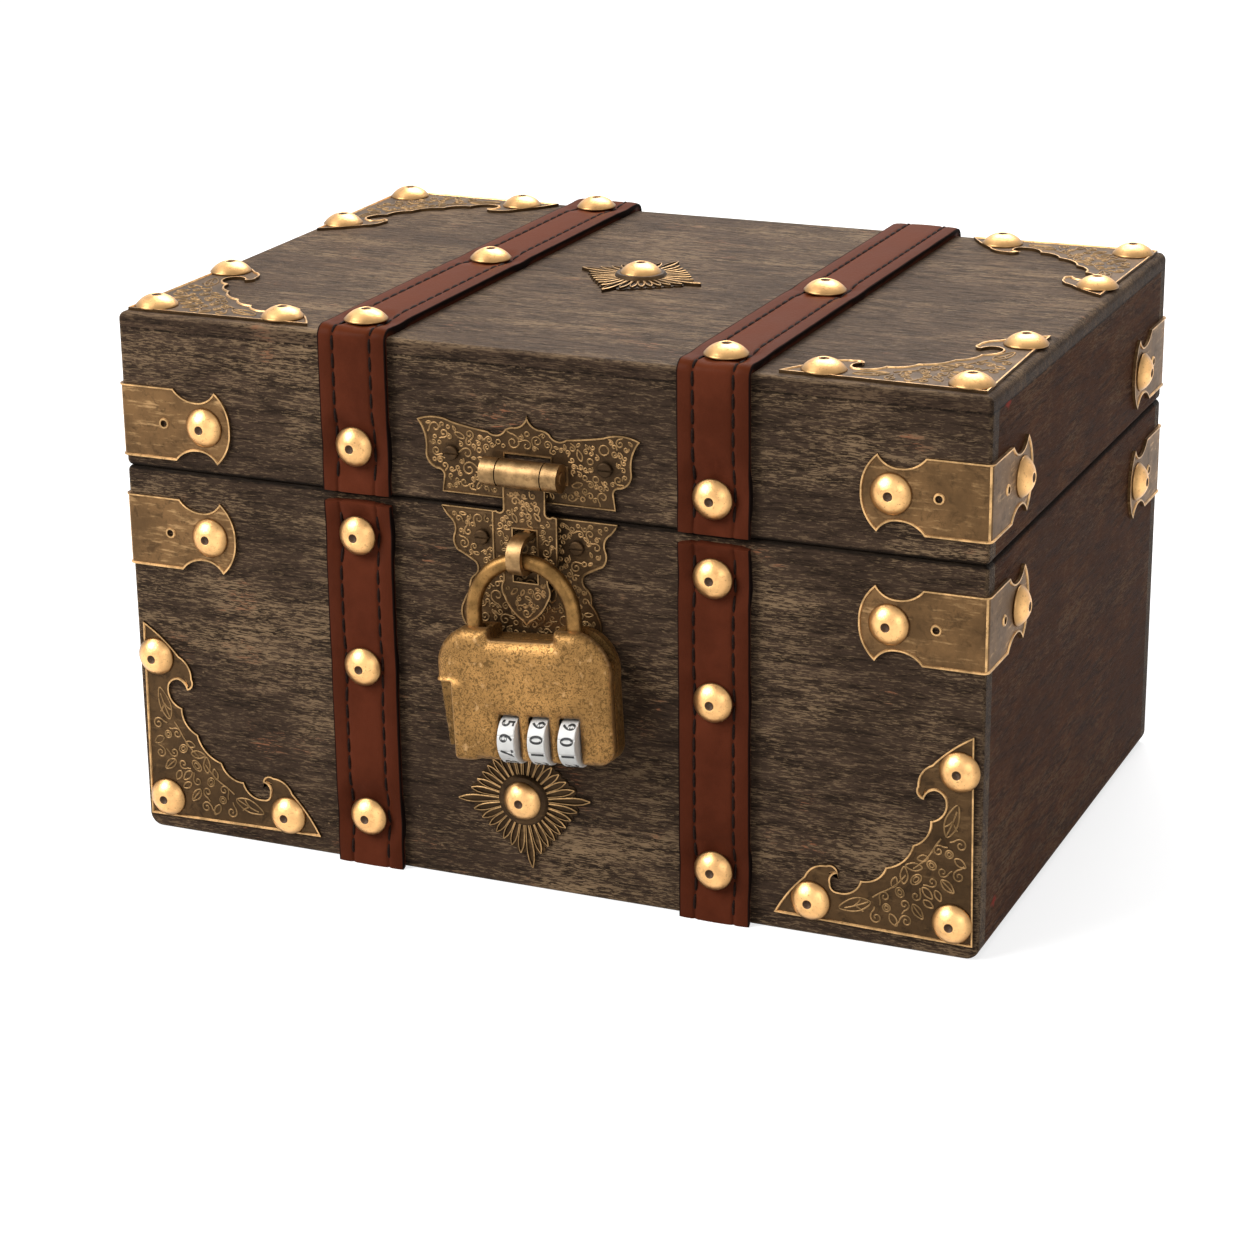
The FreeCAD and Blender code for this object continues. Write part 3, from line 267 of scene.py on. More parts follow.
def wood(name, tone, worn, grain, amount, gloss=0.06, below=0.0, marks=()):
    """Stained wood with fine rubbed fibres running along one axis, with painted shade in the lid's seam, darker
    below the lid's top if asked so that a top tone lightened as painted light keeps to the top face, and with
    red rubbed marks at (depth, height) on its right face."""
    paint = Paint(name, Specular_IOR_Level=gloss, Specular_Tint=(1.0, 0.84, 0.68, 1.0))
    stretch = [1.0, 1.0, 1.0]
    stretch["xyz".index(grain)] = 0.13
    long = paint.place(stretch)
    plain = paint.place()
    patches = paint.noise(plain, 26.0, 4.0, 0.62)
    zones = paint.noise(paint.place(stretch, shift=(0.2, 0.5, 0.1)), 75.0, 3.0, 0.6)
    broad = paint.noise(long, 560.0, 4.0, 0.6, 0.5)
    fine = paint.noise(long, 1900.0, 4.0, 0.62, 0.8)
    hair = paint.noise(long, 3300.0, 3.0, 0.6, 0.4)
    edge = edge_distance(paint)
    ragged = paint.noise(plain, 520.0, 4.0, 0.65)
    near_edge = 1.0 - (edge + ragged * 0.0028).ease(0.0011, 0.0030)
    rubbed = patches.ease(0.42, 0.66) * 0.5 + zones.ease(0.45, 0.68) * 0.5
    streak = (fine + broad * 0.22 + rubbed * 0.085 + near_edge * 0.06).ease(0.715, 0.765) * amount
    threads = (hair + broad * 0.15 + rubbed * 0.09).ease(0.655, 0.695) * 0.95 * amount
    dark_lines = 1.0 - (fine * 0.55 + broad * 0.45).ease(0.38, 0.48)
    base = paint.mix(patches.ease(0.32, 0.70), shade(tone, 0.74), shade(tone, 1.34))
    base = paint.mix(broad.ease(0.36, 0.66), shade(tone, 0.70), base)
    base = paint.mix(rubbed * 0.24 * amount, base, shade(worn, 0.36))
    base = paint.mix(dark_lines * 0.75, base, shade(tone, 0.25))
    base = paint.mix(streak.most(threads) * (rubbed * 0.62 + 0.34), base, shade(worn, 1.2))
    base = paint.mix(near_edge * ragged.ease(0.45, 0.60) * 0.7 * amount, base, worn)
    warm = paint.noise(paint.place(shift=(0.3, 0.1, 0.2)), 60.0, 3.0)
    base = paint.mix(warm.ease(0.58, 0.72) * streak, base, (0.30, 0.12, 0.06, 1.0))
    speck = paint.cells(plain, 420.0)
    chip = (1.0 - speck.ease(0.06, 0.16)) * paint.noise(plain, 90.0, 2.0).ease(0.60, 0.68)
    base = paint.mix(chip * amount * 0.7, base, shade(worn, 1.2))
    x, y, z = paint.axes()
    # Painted shade along the seam between lid and base
    seam_shade = 1.0 - ((z - SEAM).size() + ragged * 0.0008).ease(0.0009, 0.0017)
    base = paint.mix(seam_shade * 0.92, base, SEAM_SHADE_AND_JOINT_BLACK)
    joint = 1.0 - (z - top_low.z).size().ease(0.00015, 0.00045)
    base = paint.mix(joint * ragged.ease(0.38, 0.52) * 0.8, base, SEAM_SHADE_AND_JOINT_BLACK)
    # Below the top face the lighter top tone is darkened back, so its painted light stays on the top face
    base = paint.mix((HEIGHT - z).ease(0.0004, 0.0012) * below, base, (0.62, 0.60, 0.62, 1.0), "MULTIPLY")
    if marks:
        frayed = paint.noise(plain, 500.0, 3.0, 0.6)
    for depth, height in marks:
        reach = (y - depth).size() * 0.55 + (z - height).size() + frayed * 0.003
        base = paint.mix((1.0 - reach.ease(0.0020, 0.0034)) * x.ease(0.0, 0.01), base, RUBBED_RED)
    height = fine * 0.8 + broad * 0.6 + hair * 0.35 - dark_lines * 0.35 + chip * 0.2
    roughness = 0.46 + broad * 0.26 - streak * 0.08
    return paint.finish(Base_Color=base, Roughness=roughness, Normal=paint.bump(height, 0.26, 0.9))


def leather(name, tone, edge_tone):
    """Smooth polished leather with creases, faint grain and a painted edge, with painted shade along the sewn
    grooves and painted light on the lid's top.
    """
    paint = Paint(name, Specular_IOR_Level=0.02, Specular_Tint=(1.0, 0.50, 0.32, 1.0), Coat_Roughness=0.30)
    x, _, z = paint.axes()
    across = (x.size() - STRAP_CENTRE).size()
    plain = paint.place()
    cloud = paint.noise(plain, 70.0, 4.0, 0.6)
    grain = paint.cells(plain, 1500.0)
    pores = paint.noise(plain, 2600.0, 2.0)
    rubs = paint.noise(paint.place((1.0, 0.3, 0.3)), 240.0, 4.0, 0.65)
    # Painted shade along the sewn grooves
    groove_shade = 1.0 - (across - SEWN_AT).size().ease(0.0002, 0.0009)
    margin = (across - SEWN_AT).ease(0.0, 0.0012)
    rim = (across + cloud * 0.0004).ease(0.00890, 0.00925)
    # On the lid's top the leather is lighter and more orange: painted light from above
    base = paint.coats(tone, 0.82, (cloud.ease(0.3, 0.7), 1.18), ((z - HEIGHT).ease(0.0, 0.0024) * 0.8, LIT_TOP_LEATHER),
                       (rubs.ease(0.62, 0.78) * 0.35, 1.7), (groove_shade * 0.25, 0.40), (margin * 0.35, 0.62),
                       (rim, edge_tone))
    height = grain * 0.35 + pores * 0.20 + rubs * 0.5 + cloud * 0.8
    roughness = 0.36 + cloud * 0.10 + rubs * 0.08 + rim * 0.3
    return paint.finish(Base_Color=base, Roughness=roughness, Normal=paint.bump(height, 0.09, 0.8),
                        Coat_Weight=(1.0 - rim) * 0.02)


def sewing_thread(name, tone):
    paint = Paint(name, Specular_IOR_Level=0.08)
    twist = paint.noise(paint.place(turn=(0.6, 0.6, 0.0)), 1800.0, 2.0)
    worn = paint.noise(paint.place(), 260.0, 3.0)
    base = paint.coats(tone, 0.6, (twist.ease(0.35, 0.65), 1.5), (worn.ease(0.62, 0.72) * 0.6, 4.5))
    return paint.finish(Base_Color=base, Roughness=0.62 + worn * 0.2, Normal=paint.bump(twist, 0.1))


def nail_metal(name, tone):
    """Satin brass with hammered unevenness, a darkened dimple and a head darkened towards its edge by patina and
    painted shade.
    """
    paint = Paint(name, Metallic=1.0)
    plain = paint.place()
    blotch = paint.noise(plain, 190.0, 4.0, 0.6)
    flow = paint.noise(plain, 520.0, 3.0, 0.6)
    speck = paint.noise(plain, 1400.0, 3.0, 0.7)
    rim = paint.node("ShaderNodeAttribute", {"attribute_name": "rim"}, out="Fac")
    # Darker towards the head's edge: partly patina, partly painted shade standing in for the dark surroundings it
    # reflects
    base = paint.coats(tone, 0.80, (blotch.ease(0.32, 0.66), 1.14), (speck.ease(0.56, 0.72) * 0.7, 0.36),
                       (flow.ease(0.60, 0.72) * 0.30, (0.60, 0.30, 0.10, 1.0)),
                       ((rim + blotch * 0.10).ease(0.70, 1.08) * 0.85, 0.24))
    height = blotch * 1.4 + flow * 0.5 + speck * 0.12
    return paint.finish(Base_Color=base, Roughness=0.25 + blotch * 0.12 + speck * 0.10,
                        Normal=paint.bump(height, 0.15, 0.8))


def stamped_metal(name, tone, bright, brushed=0.0):
    """Antiqued brass sheet with dark patina, scratches and small pits."""
    paint = Paint(name, Metallic=0.85)
    plain = paint.place()
    cloud = paint.noise(plain, 85.0, 5.0, 0.65)
    tarnish = paint.noise(plain, 330.0, 5.0, 0.7, 0.5)
    pit = paint.noise(plain, 1500.0, 3.0, 0.7)
    strokes = paint.noise(paint.place((0.18, 0.18, 1.0), (0.0, 0.35, 0.0)), 900.0, 4.0, 0.65)
    base = paint.coats(tone, 0.62, (cloud.ease(0.33, 0.68), 1.12), (tarnish.ease(0.50, 0.66) * 0.7, 0.38),
                       (strokes.ease(0.52, 0.72) * (0.25 + brushed) * cloud.ease(0.35, 0.6), bright),
                       (pit.ease(0.60, 0.72) * 0.5, 0.25))
    height = tarnish * 0.5 + pit * 0.3 + strokes * 0.6
    return paint.finish(Base_Color=base, Roughness=0.46 + tarnish * 0.20 - strokes * 0.06,
                        Normal=paint.bump(height, 0.10, 0.8))


def rubbed_metal(name, tone, dark, rough=0.30):
    """Bright worn brass of rims, scrolls, knuckles and the shackle; on the hasp's barrel it is a painted
    highlight.
    """
    paint = Paint(name, Metallic=1.0)
    plain = paint.place()
    cloud = paint.noise(plain, 240.0, 4.0, 0.6)
    speck = paint.noise(plain, 1200.0, 3.0, 0.7)
    base = paint.coats(tone, 0.62, (cloud.ease(0.36, 0.66), 1.2), (speck.ease(0.54, 0.68) * 0.60, dark))
    return paint.finish(Base_Color=base, Roughness=rough + cloud * 0.16 + speck * 0.08,
                        Normal=paint.bump(cloud * 0.6 + speck * 0.3, 0.07, 0.8))


def mottled_bronze(name, tone, bright):
    """Padlock bronze: brown mottling in wavy flecks over a golden ground."""
    paint = Paint(name, Metallic=0.95)
    plain = paint.place()
    cloud = paint.noise(plain, 60.0, 4.0, 0.6)
    flecks = paint.noise(plain, 980.0, 4.0, 0.7, 1.8)
    fine = paint.noise(plain, 2300.0, 2.0, 0.6)
    gold = paint.noise(plain, 420.0, 3.0)
    wear = paint.node("ShaderNodeAttribute", {"attribute_name": "wear"}, out="Fac")
    worn = (wear + flecks * 0.5 - 0.25).ease(0.35, 0.75)
    base = paint.coats(tone, 0.76, (cloud.ease(0.34, 0.66), 1.24), (flecks.ease(0.48, 0.58) * 0.80, 0.26),
                       (fine.ease(0.56, 0.70) * 0.45, 0.40), (gold.ease(0.60, 0.72) * 0.5, bright),
                       (worn * 0.6, bright))
    height = flecks * 0.7 + fine * 0.3 + cloud * 0.8
    return paint.finish(Base_Color=base, Roughness=0.38 + flecks * 0.18 + cloud * 0.06 - worn * 0.08,
                        Normal=paint.bump(height, 0.08, 0.8))


def wheel_paint(name, tone):
    paint = Paint(name, Specular_IOR_Level=0.5)
    plain = paint.place()
    grime = paint.noise(plain, 700.0, 4.0, 0.7)
    cloud = paint.noise(plain, 260.0, 3.0)
    base = paint.coats(tone, 0.92, (cloud.ease(0.3, 0.7), 1.0),
                       (grime.ease(0.60, 0.74) * 0.5, (0.25, 0.22, 0.18, 1.0)))
    return paint.finish(Base_Color=base, Roughness=0.32 + grime * 0.15, Normal=paint.bump(grime, 0.04))


def figure_paint(name, tone):
    paint = Paint(name, Specular_IOR_Level=0.4)
    worn = paint.noise(paint.place(), 1500.0, 3.0)
    base = paint.mix(worn.ease(0.60, 0.75) * 0.5, tone, (0.18, 0.17, 0.16, 1.0))
    return paint.finish(Base_Color=base, Roughness=0.45 + worn * 0.1)


def steel(name, tone):
    paint = Paint(name, Metallic=1.0)
    lines = paint.noise(paint.place((0.1, 1.0, 1.0)), 1800.0, 3.0)
    cloud = paint.noise(paint.place(), 200.0, 4.0)
    base = paint.coats(tone, 0.7, (cloud.ease(0.35, 0.65), 1.0))
    return paint.finish(Base_Color=base, Roughness=0.34 + lines * 0.15, Normal=paint.bump(lines, 0.03))


# Object tools

def object_mode():
    if bpy.context.mode != "OBJECT":
        bpy.ops.object.mode_set(mode="OBJECT")


def only(*objects):
    """Selects these objects and nothing else; the first one is active."""
    object_mode()
    bpy.ops.object.select_all(action="DESELECT")
    for item in objects:
        item.select_set(True)
    bpy.context.view_layer.objects.active = objects[0]


def added(name):
    """Names the object that the last operator made."""
    made = bpy.context.object
    made.name = name
    made.data.name = name
    return made


def edit(piece, kind="FACE"):
    """Opens the mesh for editing with nothing selected."""
    only(piece)
    bpy.ops.object.mode_set(mode="EDIT")
    bpy.ops.mesh.select_mode(type=kind)
    bpy.ops.mesh.select_all(action="DESELECT")


def choose(piece, test):
    """Selects the faces of the open mesh that pass a test; says how many."""
    work = bmesh.from_edit_mesh(piece.data)
    chosen = [face for face in work.faces if test(face)]
    for face in chosen:
        face.select_set(True)
    work.select_flush_mode()
    bmesh.update_edit_mesh(piece.data)
    return len(chosen)


def apply_modifier(piece, kind, **settings):
    only(piece)
    modifier = piece.modifiers.new(kind.title(), kind)
    for key, value in settings.items():
        setattr(modifier, key, value)
    bpy.ops.object.modifier_apply(modifier=modifier.name)


def smooth(piece, angle):
    only(piece)
    bpy.ops.object.shade_smooth_by_angle(angle=math.radians(angle))


def freeze(piece):
    only(piece)
    bpy.ops.object.transform_apply(location=True, rotation=True, scale=True)


def moved_copy(piece, matrix, name):
    """Copy with its own mesh, moved by a matrix."""
    made = piece.copy()
    made.data = piece.data.copy()
    made.name = name
    bpy.context.scene.collection.objects.link(made)
    made.data.transform(matrix)
    if matrix.determinant() < 0:
        made.data.flip_normals()
    return made


def merged(pieces, name):
    """One object out of several."""
    only(*pieces)
    if len(pieces) > 1:
        bpy.ops.object.join()
    return added(name)


def removed(piece):
    bpy.data.objects.remove(piece, do_unlink=True)


def node_copy(node, name):
    """Merged and cleaned copy of a node's mesh, to be shaped further."""
    source = frame["nodes"][node]
    made = source.copy()
    made.data = source.data.copy()
    made.name = name
    made.parent = None
    for key in list(made.keys()):
        del made[key]
    bpy.context.scene.collection.objects.link(made)
    edit(made, "VERT")
    bpy.ops.mesh.select_all(action="SELECT")
    bpy.ops.mesh.remove_doubles(threshold=1e-6)
    bpy.ops.mesh.customdata_custom_splitnormals_clear()
    object_mode()
    made.data.materials.clear()
    return made


def paint_all(piece, *materials):
    piece.data.materials.clear()
    for material in materials:
        piece.data.materials.append(material)


def hand_over(piece, body, slot, *nodes):
    """Puts a finished piece on its body and in the place of its nodes."""
    freeze(piece)
    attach(piece, body)
    if nodes:
        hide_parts(*nodes)


def extent(points):
    """Lowest and highest corner of the box round some points."""
    return (Vector([min(point[axis] for point in points) for axis in range(3)]),
            Vector([max(point[axis] for point in points) for axis in range(3)]))


def ray_tree(mesh):
    return BVHTree.FromPolygons([vertex.co for vertex in mesh.vertices],
                                [tuple(face.vertices) for face in mesh.polygons])


def islands(node):
    """Vertices of each separate solid in a node."""
    work = bmesh.new()
    work.from_mesh(frame["nodes"][node].data)
    bmesh.ops.remove_doubles(work, verts=work.verts, dist=1e-6)
    seen = set()
    groups = []
    for first in work.verts:
        if first in seen:
            continue
        stack = [first]
        seen.add(first)
        group = []
        while stack:
            here = stack.pop()
            group.append(here.co.copy())
            for link in here.link_edges:
                other = link.other_vert(here)
                if other not in seen:
                    seen.add(other)
                    stack.append(other)
        groups.append(group)
    work.free()
    return groups


def seats(node, head_height):
    """Place and outward direction of every nail or screw in a node."""
    found = []
    for group in islands(node):
        low, high = extent(group)
        middle = (low + high) / 2
        size = high - low
        spare = [abs(part - sorted(size)[1]) for part in size]
        axis = spare.index(max(spare))
        sign = 1.0 if middle[axis] > (0.0, 0.0, SEAM / 2)[axis] else -1.0
        outward = Vector((0.0, 0.0, 0.0))
        outward[axis] = sign
        middle[axis] = (high[axis] if sign > 0 else low[axis]) - sign * head_height
        found.append((middle, outward))
    return found


def seated(point, outward, turn):
    """Matrix from the drawing of a fastener (head up) to its seat."""
    return (Matrix.Translation(point) @ outward.to_track_quat("Z", "Y").to_matrix().to_4x4()
            @ Matrix.Rotation(turn, 4, "Z"))


# Curve tools

def wires(name, runs, radius, closed=(), detail=3):
    """Mesh of round wires along smooth runs of points."""
    object_mode()
    bpy.ops.object.select_all(action="DESELECT")
    bpy.ops.curve.primitive_nurbs_path_add()
    made = added(name)
    curve = made.data
    curve.splines.clear()
    for index, run in enumerate(runs):
        spline = curve.splines.new("NURBS")
        spline.points.add(len(run) - 1)
        for point, place in zip(spline.points, run):
            point.co = (*place, 1.0)
        spline.order_u = min(3, len(run))
        spline.resolution_u = detail
        if index in closed:
            spline.use_cyclic_u = True
        else:
            spline.use_endpoint_u = True
    curve.dimensions = "3D"
    curve.bevel_depth = radius
    curve.bevel_resolution = 1
    curve.use_fill_caps = True
    made.location = (0.0, 0.0, 0.0)
    only(made)
    bpy.ops.object.convert(target="MESH")
    return bpy.context.object


def volute(centre, radius, start, turns, hand, tail):
    """Points of a scroll that winds in to its centre, with a tail that runs off it."""
    points = []
    count = max(6, int(turns * 8))
    for index in range(count + 1):
        share = index / count
        turn = math.radians(start) + hand * share * turns * 2 * math.pi
        reach = radius * (1.0 - 0.82 * share)
        points.append((centre[0] + reach * math.cos(turn), centre[1] + reach * math.sin(turn)))
    for reach, turn in ((tail * 0.6, hand * math.pi / 2), (tail, hand * 0.9)):
        turn = math.radians(start) - turn
        points.insert(0, (points[0][0] + reach * math.cos(turn), points[0][1] + reach * math.sin(turn)))
    return points


def leaf(base, tip, belly):
    """Closed almond outline from base to tip."""
    along = Vector(tip) - Vector(base)
    side = Vector((-along.y, along.x)).normalized() * belly
    points = []
    for share, width in ((0.0, 0.1), (0.25, 0.8), (0.5, 1.0), (0.75, 0.65), (1.0, 0.0), (0.75, -0.65), (0.5, -1.0),
                         (0.25, -0.8)):
        place = Vector(base) + along * share + side * width
        points.append((place.x, place.y))
    return points


def ring(centre, radius, squeeze=1.0, turn=0.0):
    points = []
    for index in range(8):
        angle = index * math.pi / 4
        u = radius * math.cos(angle)
        v = radius * squeeze * math.sin(angle)
        points.append((centre[0] + u * math.cos(turn) - v * math.sin(turn),
                       centre[1] + u * math.sin(turn) + v * math.cos(turn)))
    return points


def embossed(name, runs, closed, place, radius):
    """Scroll lines of a drawing, set on a surface by a place function."""
    return wires(name, [[place(u, v) for u, v in run] for run in runs], radius, closed)


def packed_scrolls(node, outward, flat, spread, count, seed, keep_out):
    """Scrolls of several sizes packed inside the outline of a plate."""
    tree = ray_tree(frame["nodes"][node].data)
    low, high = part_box(node)
    chance = random.Random(seed)
    taken = [(Vector(place), size) for place, size in keep_out]
    runs = []
    closed = []
    for _ in range(count * 40):
        size = chance.choice(spread) * MM
        u = chance.uniform(low.x, high.x)
        v = chance.uniform(low.z, high.z)
        here = Vector((u, v))
        if any((here - other).length < (size + other_size) * 0.88 for other, other_size in taken):
            continue
        clear = True
        for index in range(10):
            angle = index * math.pi / 5
            probe = Vector((u + (size + 0.0008) * math.cos(angle), flat, v + (size + 0.0008) * math.sin(angle)))
            hit = tree.ray_cast(probe + outward * 0.004, -outward, 0.0052)
            if hit[0] is None or abs(hit[0].y - flat) > 0.0005:
                clear = False
                break
        if not clear:
            continue
        taken.append((here, size))
        kind = chance.random()
        start = chance.uniform(0.0, 360.0)
        if kind < 0.72:
            turns = chance.uniform(1.0, 1.5)
            runs.append(volute((u, v), size, start, turns, chance.choice((-1.0, 1.0)), size * 0.5))
        elif kind < 0.88:
            turn = math.radians(start)
            arm = Vector((math.cos(turn), math.sin(turn))) * size
            closed.append(len(runs))
            runs.append(leaf(here - arm, here + arm, size * 0.42))
        else:
            closed.append(len(runs))
            runs.append(ring((u, v), size * 0.62))
        if len(taken) >= count:
            break
    return runs, closed


def raise_rim(piece, outer_test, sizes, even=True, outward=None, level=0.0):
    """Gives the outer face of a stamped plate a raised rim."""
    edit(piece)
    if not choose(piece, outer_test):
        raise RuntimeError("no outer faces on " + piece.name)
    rim = sizes.rim_width
    rise = sizes.rim_height
    bpy.ops.mesh.inset(thickness=rim * 0.25, depth=0.0, use_even_offset=even)
    bpy.ops.mesh.inset(thickness=rim * 0.45, depth=0.0, use_even_offset=even)
    bpy.ops.mesh.inset(thickness=rim * 0.30, depth=-rise, use_even_offset=even)
    if outward is not None:
        work = bmesh.from_edit_mesh(piece.data)
        for vertex in {vertex for face in work.faces if face.select for vertex in face.verts}:
            vertex.co += outward * (level - rise - vertex.co.dot(outward))
        bmesh.update_edit_mesh(piece.data)
    object_mode()


def two_tone(piece, bright_test):
    """Second material slot for the faces that pass the test."""
    for face in piece.data.polygons:
        face.material_index = 1 if bright_test(face) else 0


# Straps

def lid_route(bend):
    """Outer surface of a lid strap as (length, function of length) in the YZ plane."""
    outer = HALF_DEPTH + STRAP_RISE
    top = HEIGHT + STRAP_RISE
    bottom = LID_STRAP_BOTTOM
    rise = top - bend - bottom
    arc = bend * math.pi / 2
    run = 2 * (outer - bend)

    def route(t):
        if t <= rise:
            return Vector((0, -outer, bottom + t)), Vector((0, -1, 0))
        t -= rise
        if t <= arc:
            turn = t / bend
            normal = Vector((0, -math.cos(turn), math.sin(turn)))
            return Vector((0, bend - outer, top - bend)) + normal * bend, normal
        t -= arc
        if t <= run:
            return Vector((0, bend - outer + t, top)), Vector((0, 0, 1))
        t -= run
        if t <= arc:
            turn = t / bend
            normal = Vector((0, math.sin(turn), math.cos(turn)))
            return Vector((0, outer - bend, top - bend)) + normal * bend, normal
        t -= arc
        return Vector((0, outer, top - bend - t)), Vector((0, 1, 0))

    return 2 * rise + 2 * arc + run, route


def body_route(end):
    """Outer surface of a body strap, front (-1) or back (1)."""
    outer = end * (HALF_DEPTH + STRAP_RISE)
    top = STRAP_HIGH.z
    if end < 0:
        return top, lambda t: (Vector((0, outer, t)), Vector((0, -1, 0)))
    return top, lambda t: (Vector((0, outer, top - t)), Vector((0, 1, 0)))


# Relief of the leather: sewn groove, sunk margin, rolled edge and crown
GROOVE_DEPTH = 0.42 * MM
GROOVE_WIDTH = 0.48 * MM
MARGIN_SINK = 0.14 * MM
EDGE_SINK = 0.30 * MM
EDGE_START = 8.0 * MM
FADE = 1.2 * MM
CROWN = 0.10 * MM
WAVE = 0.03 * MM
# Reach of a pucker in nail radii, from its end to where it is deepest
PUCKER_END = 2.2
PUCKER_FADE = 1.35


def strap_surface(route, centre, nails, sizes, seed):
    """Function of (along, across, lift) that gives a point on the finished leather."""
    chance = random.Random(seed)
    waves = [(chance.uniform(25, 70), chance.uniform(0, 6.28), chance.uniform(0.4, 1.0)) for _ in range(4)]

    def surface(t, s, lift=0.0):
        point, normal = route(t)
        place = point + Vector((centre + s, 0, 0))
        seam = abs(abs(s) - sizes.seam_offset)
        sink = GROOVE_DEPTH * math.exp(-(seam / GROOVE_WIDTH) ** 2)
        if abs(s) > sizes.seam_offset:
            sink += MARGIN_SINK * min(1.0, seam / FADE) + EDGE_SINK * max(0.0, (abs(s) - EDGE_START) / FADE)
        else:
            sink += CROWN * (1.0 - math.cos(math.pi * s / sizes.seam_offset)) * 0.5
        for nail, outward in nails:
            if abs(normal.dot(outward)) < 0.6:
                continue
            away = place - nail
            flat = away - outward * away.dot(outward)
            reach = flat.length / sizes.nail_radius
            if reach < PUCKER_END:
                share = min(1.0, (PUCKER_END - reach) / PUCKER_FADE)
                angle = math.atan2(flat.x, flat.z + flat.y)
                fold = 1.0 + 0.22 * math.sin(angle * 5 + nail.x * 900 + nail.z * 700)
                sink += sizes.pucker_depth * share * share * (3 - 2 * share) * fold
        drift = sum(size * math.sin(t * pace + turn + s * 90) for pace, turn, size in waves) * WAVE
        return place + normal * (lift - sink - abs(drift))

    return surface


def strap(name, length_along, surface):
    """Leather band laid along its route, with stitch grooves and puckers."""
    columns = [-9.2, -8.95, -8.4, -7.2, -6.1, -5.6, -5.35, -5.1, -4.85, -4.6, -4.0, -2.8, -1.4]
    share = STRAP_HALF / (9.2 * MM)
    columns = [value * MM * share for value in columns]
    columns = columns + [0.0] + [-value for value in reversed(columns)]
    rows = int(length_along / (0.9 * MM))
    bpy.ops.object.select_all(action="DESELECT")
    bpy.ops.mesh.primitive_grid_add(x_subdivisions=len(columns) - 1, y_subdivisions=rows, size=2.0)
    made = added(name)
    for vertex in made.data.vertices:
        across = round((vertex.co.x + 1.0) / 2.0 * (len(columns) - 1))
        along = (vertex.co.y + 1.0) / 2.0 * length_along
        vertex.co = surface(along, columns[across])
    apply_modifier(made, "SOLIDIFY", thickness=STRAP_RISE - 0.25 * MM, offset=-1.0)
    apply_modifier(made, "BEVEL", width=0.35 * MM, segments=2, limit_method="ANGLE", angle_limit=math.radians(55))
    smooth(made, 50)
    return made


def stitches(name, length_along, surface, sizes):
    """Two threads that dip through the leather at every hole."""
    runs = []
    for side in (-1.0, 1.0):
        row = []
        pitch = sizes.stitch_pitch
        count = int((length_along - 4 * MM) / pitch)
        start = (length_along - count * pitch) / 2
        for index in range(count):
            t = start + index * pitch
            for share, lift in ((0.0, -0.75), (0.13, 0.0), (0.30, 0.22), (0.62, 0.22), (0.80, 0.0), (0.93, -0.75)):
                row.append(surface(t + share * pitch, side * sizes.seam_offset, lift * MM))
        row.append(surface(start + count * pitch, side * sizes.seam_offset, -0.75 * MM))
        runs.append(row)
    return wires(name, runs, sizes.thread_radius, detail=2)


# Operators

class CHEST_OT_boards(bpy.types.Operator):
    """Stain and wear the wooden boards"""
    bl_idname = "chest.boards"
    bl_label = "Boards"

    def execute(self, context):
        colours = context.scene.chest_colours
        long_grain = wood("stained_wood", colours.wood, colours.wood_worn, "x", 1.0)
        ends = wood("stained_end_wood", colours.side_wood, colours.wood_worn, "y", 0.30, 0.02, marks=END_MARKS)
        # The lid's top wood is lighter with painted light from above, and darkened back on its sides
        top = wood("stained_top_wood", colours.lit_top_wood, colours.wood_worn, "x", 0.8, below=1.0)
        paint_all(frame["nodes"]["lid_top_board"], top)
        for name, node in frame["nodes"].items():
            if name.endswith("_rail") or (name.startswith("base") and name.endswith("_board")):
                side = "left" in name or "right" in name
                paint_all(node, ends if side else long_grain)
        return {"FINISHED"}


class CHEST_OT_straps(bpy.types.Operator):
    """Lay the leather straps and stitch them"""
    bl_idname = "chest.straps"
    bl_label = "Straps"

    def execute(self, context):
        sizes = context.scene.chest_sizes
        colours = context.scene.chest_colours
        hide = leather("strap_leather", colours.leather, colours.leather_edge)
        thread = sewing_thread("strap_thread", colours.thread)
        jobs = []
        for side, name in ((-1, "left"), (1, "right")):
            jobs.append(("lid_strap_" + name, "lid", side, lid_route(sizes.bend_radius)))
            jobs.append(("base_strap_front_" + name, "base", side, body_route(-1)))
            jobs.append(("base_strap_back_" + name, "base", side, body_route(1)))
        nails = {body: seats(body + "_dome_nails", sizes.nail_seat) for body in ("lid", "base")}
        for seed, (node, body, side, (length_along, route)) in enumerate(jobs):
            near = [seat for seat in nails[body] if abs(seat[0].x - side * STRAP_CENTRE) < 0.002]
            surface = strap_surface(route, side * STRAP_CENTRE, near, sizes, seed)
            band = strap(node + "_leather", length_along, surface)
            paint_all(band, hide)
            hand_over(band, body, "strap_leather", node)
            rows = stitches(node + "_stitches", length_along, surface, sizes)
            smooth(rows, 60)
            paint_all(rows, thread)
            hand_over(rows, body, "strap_leather")
        return {"FINISHED"}


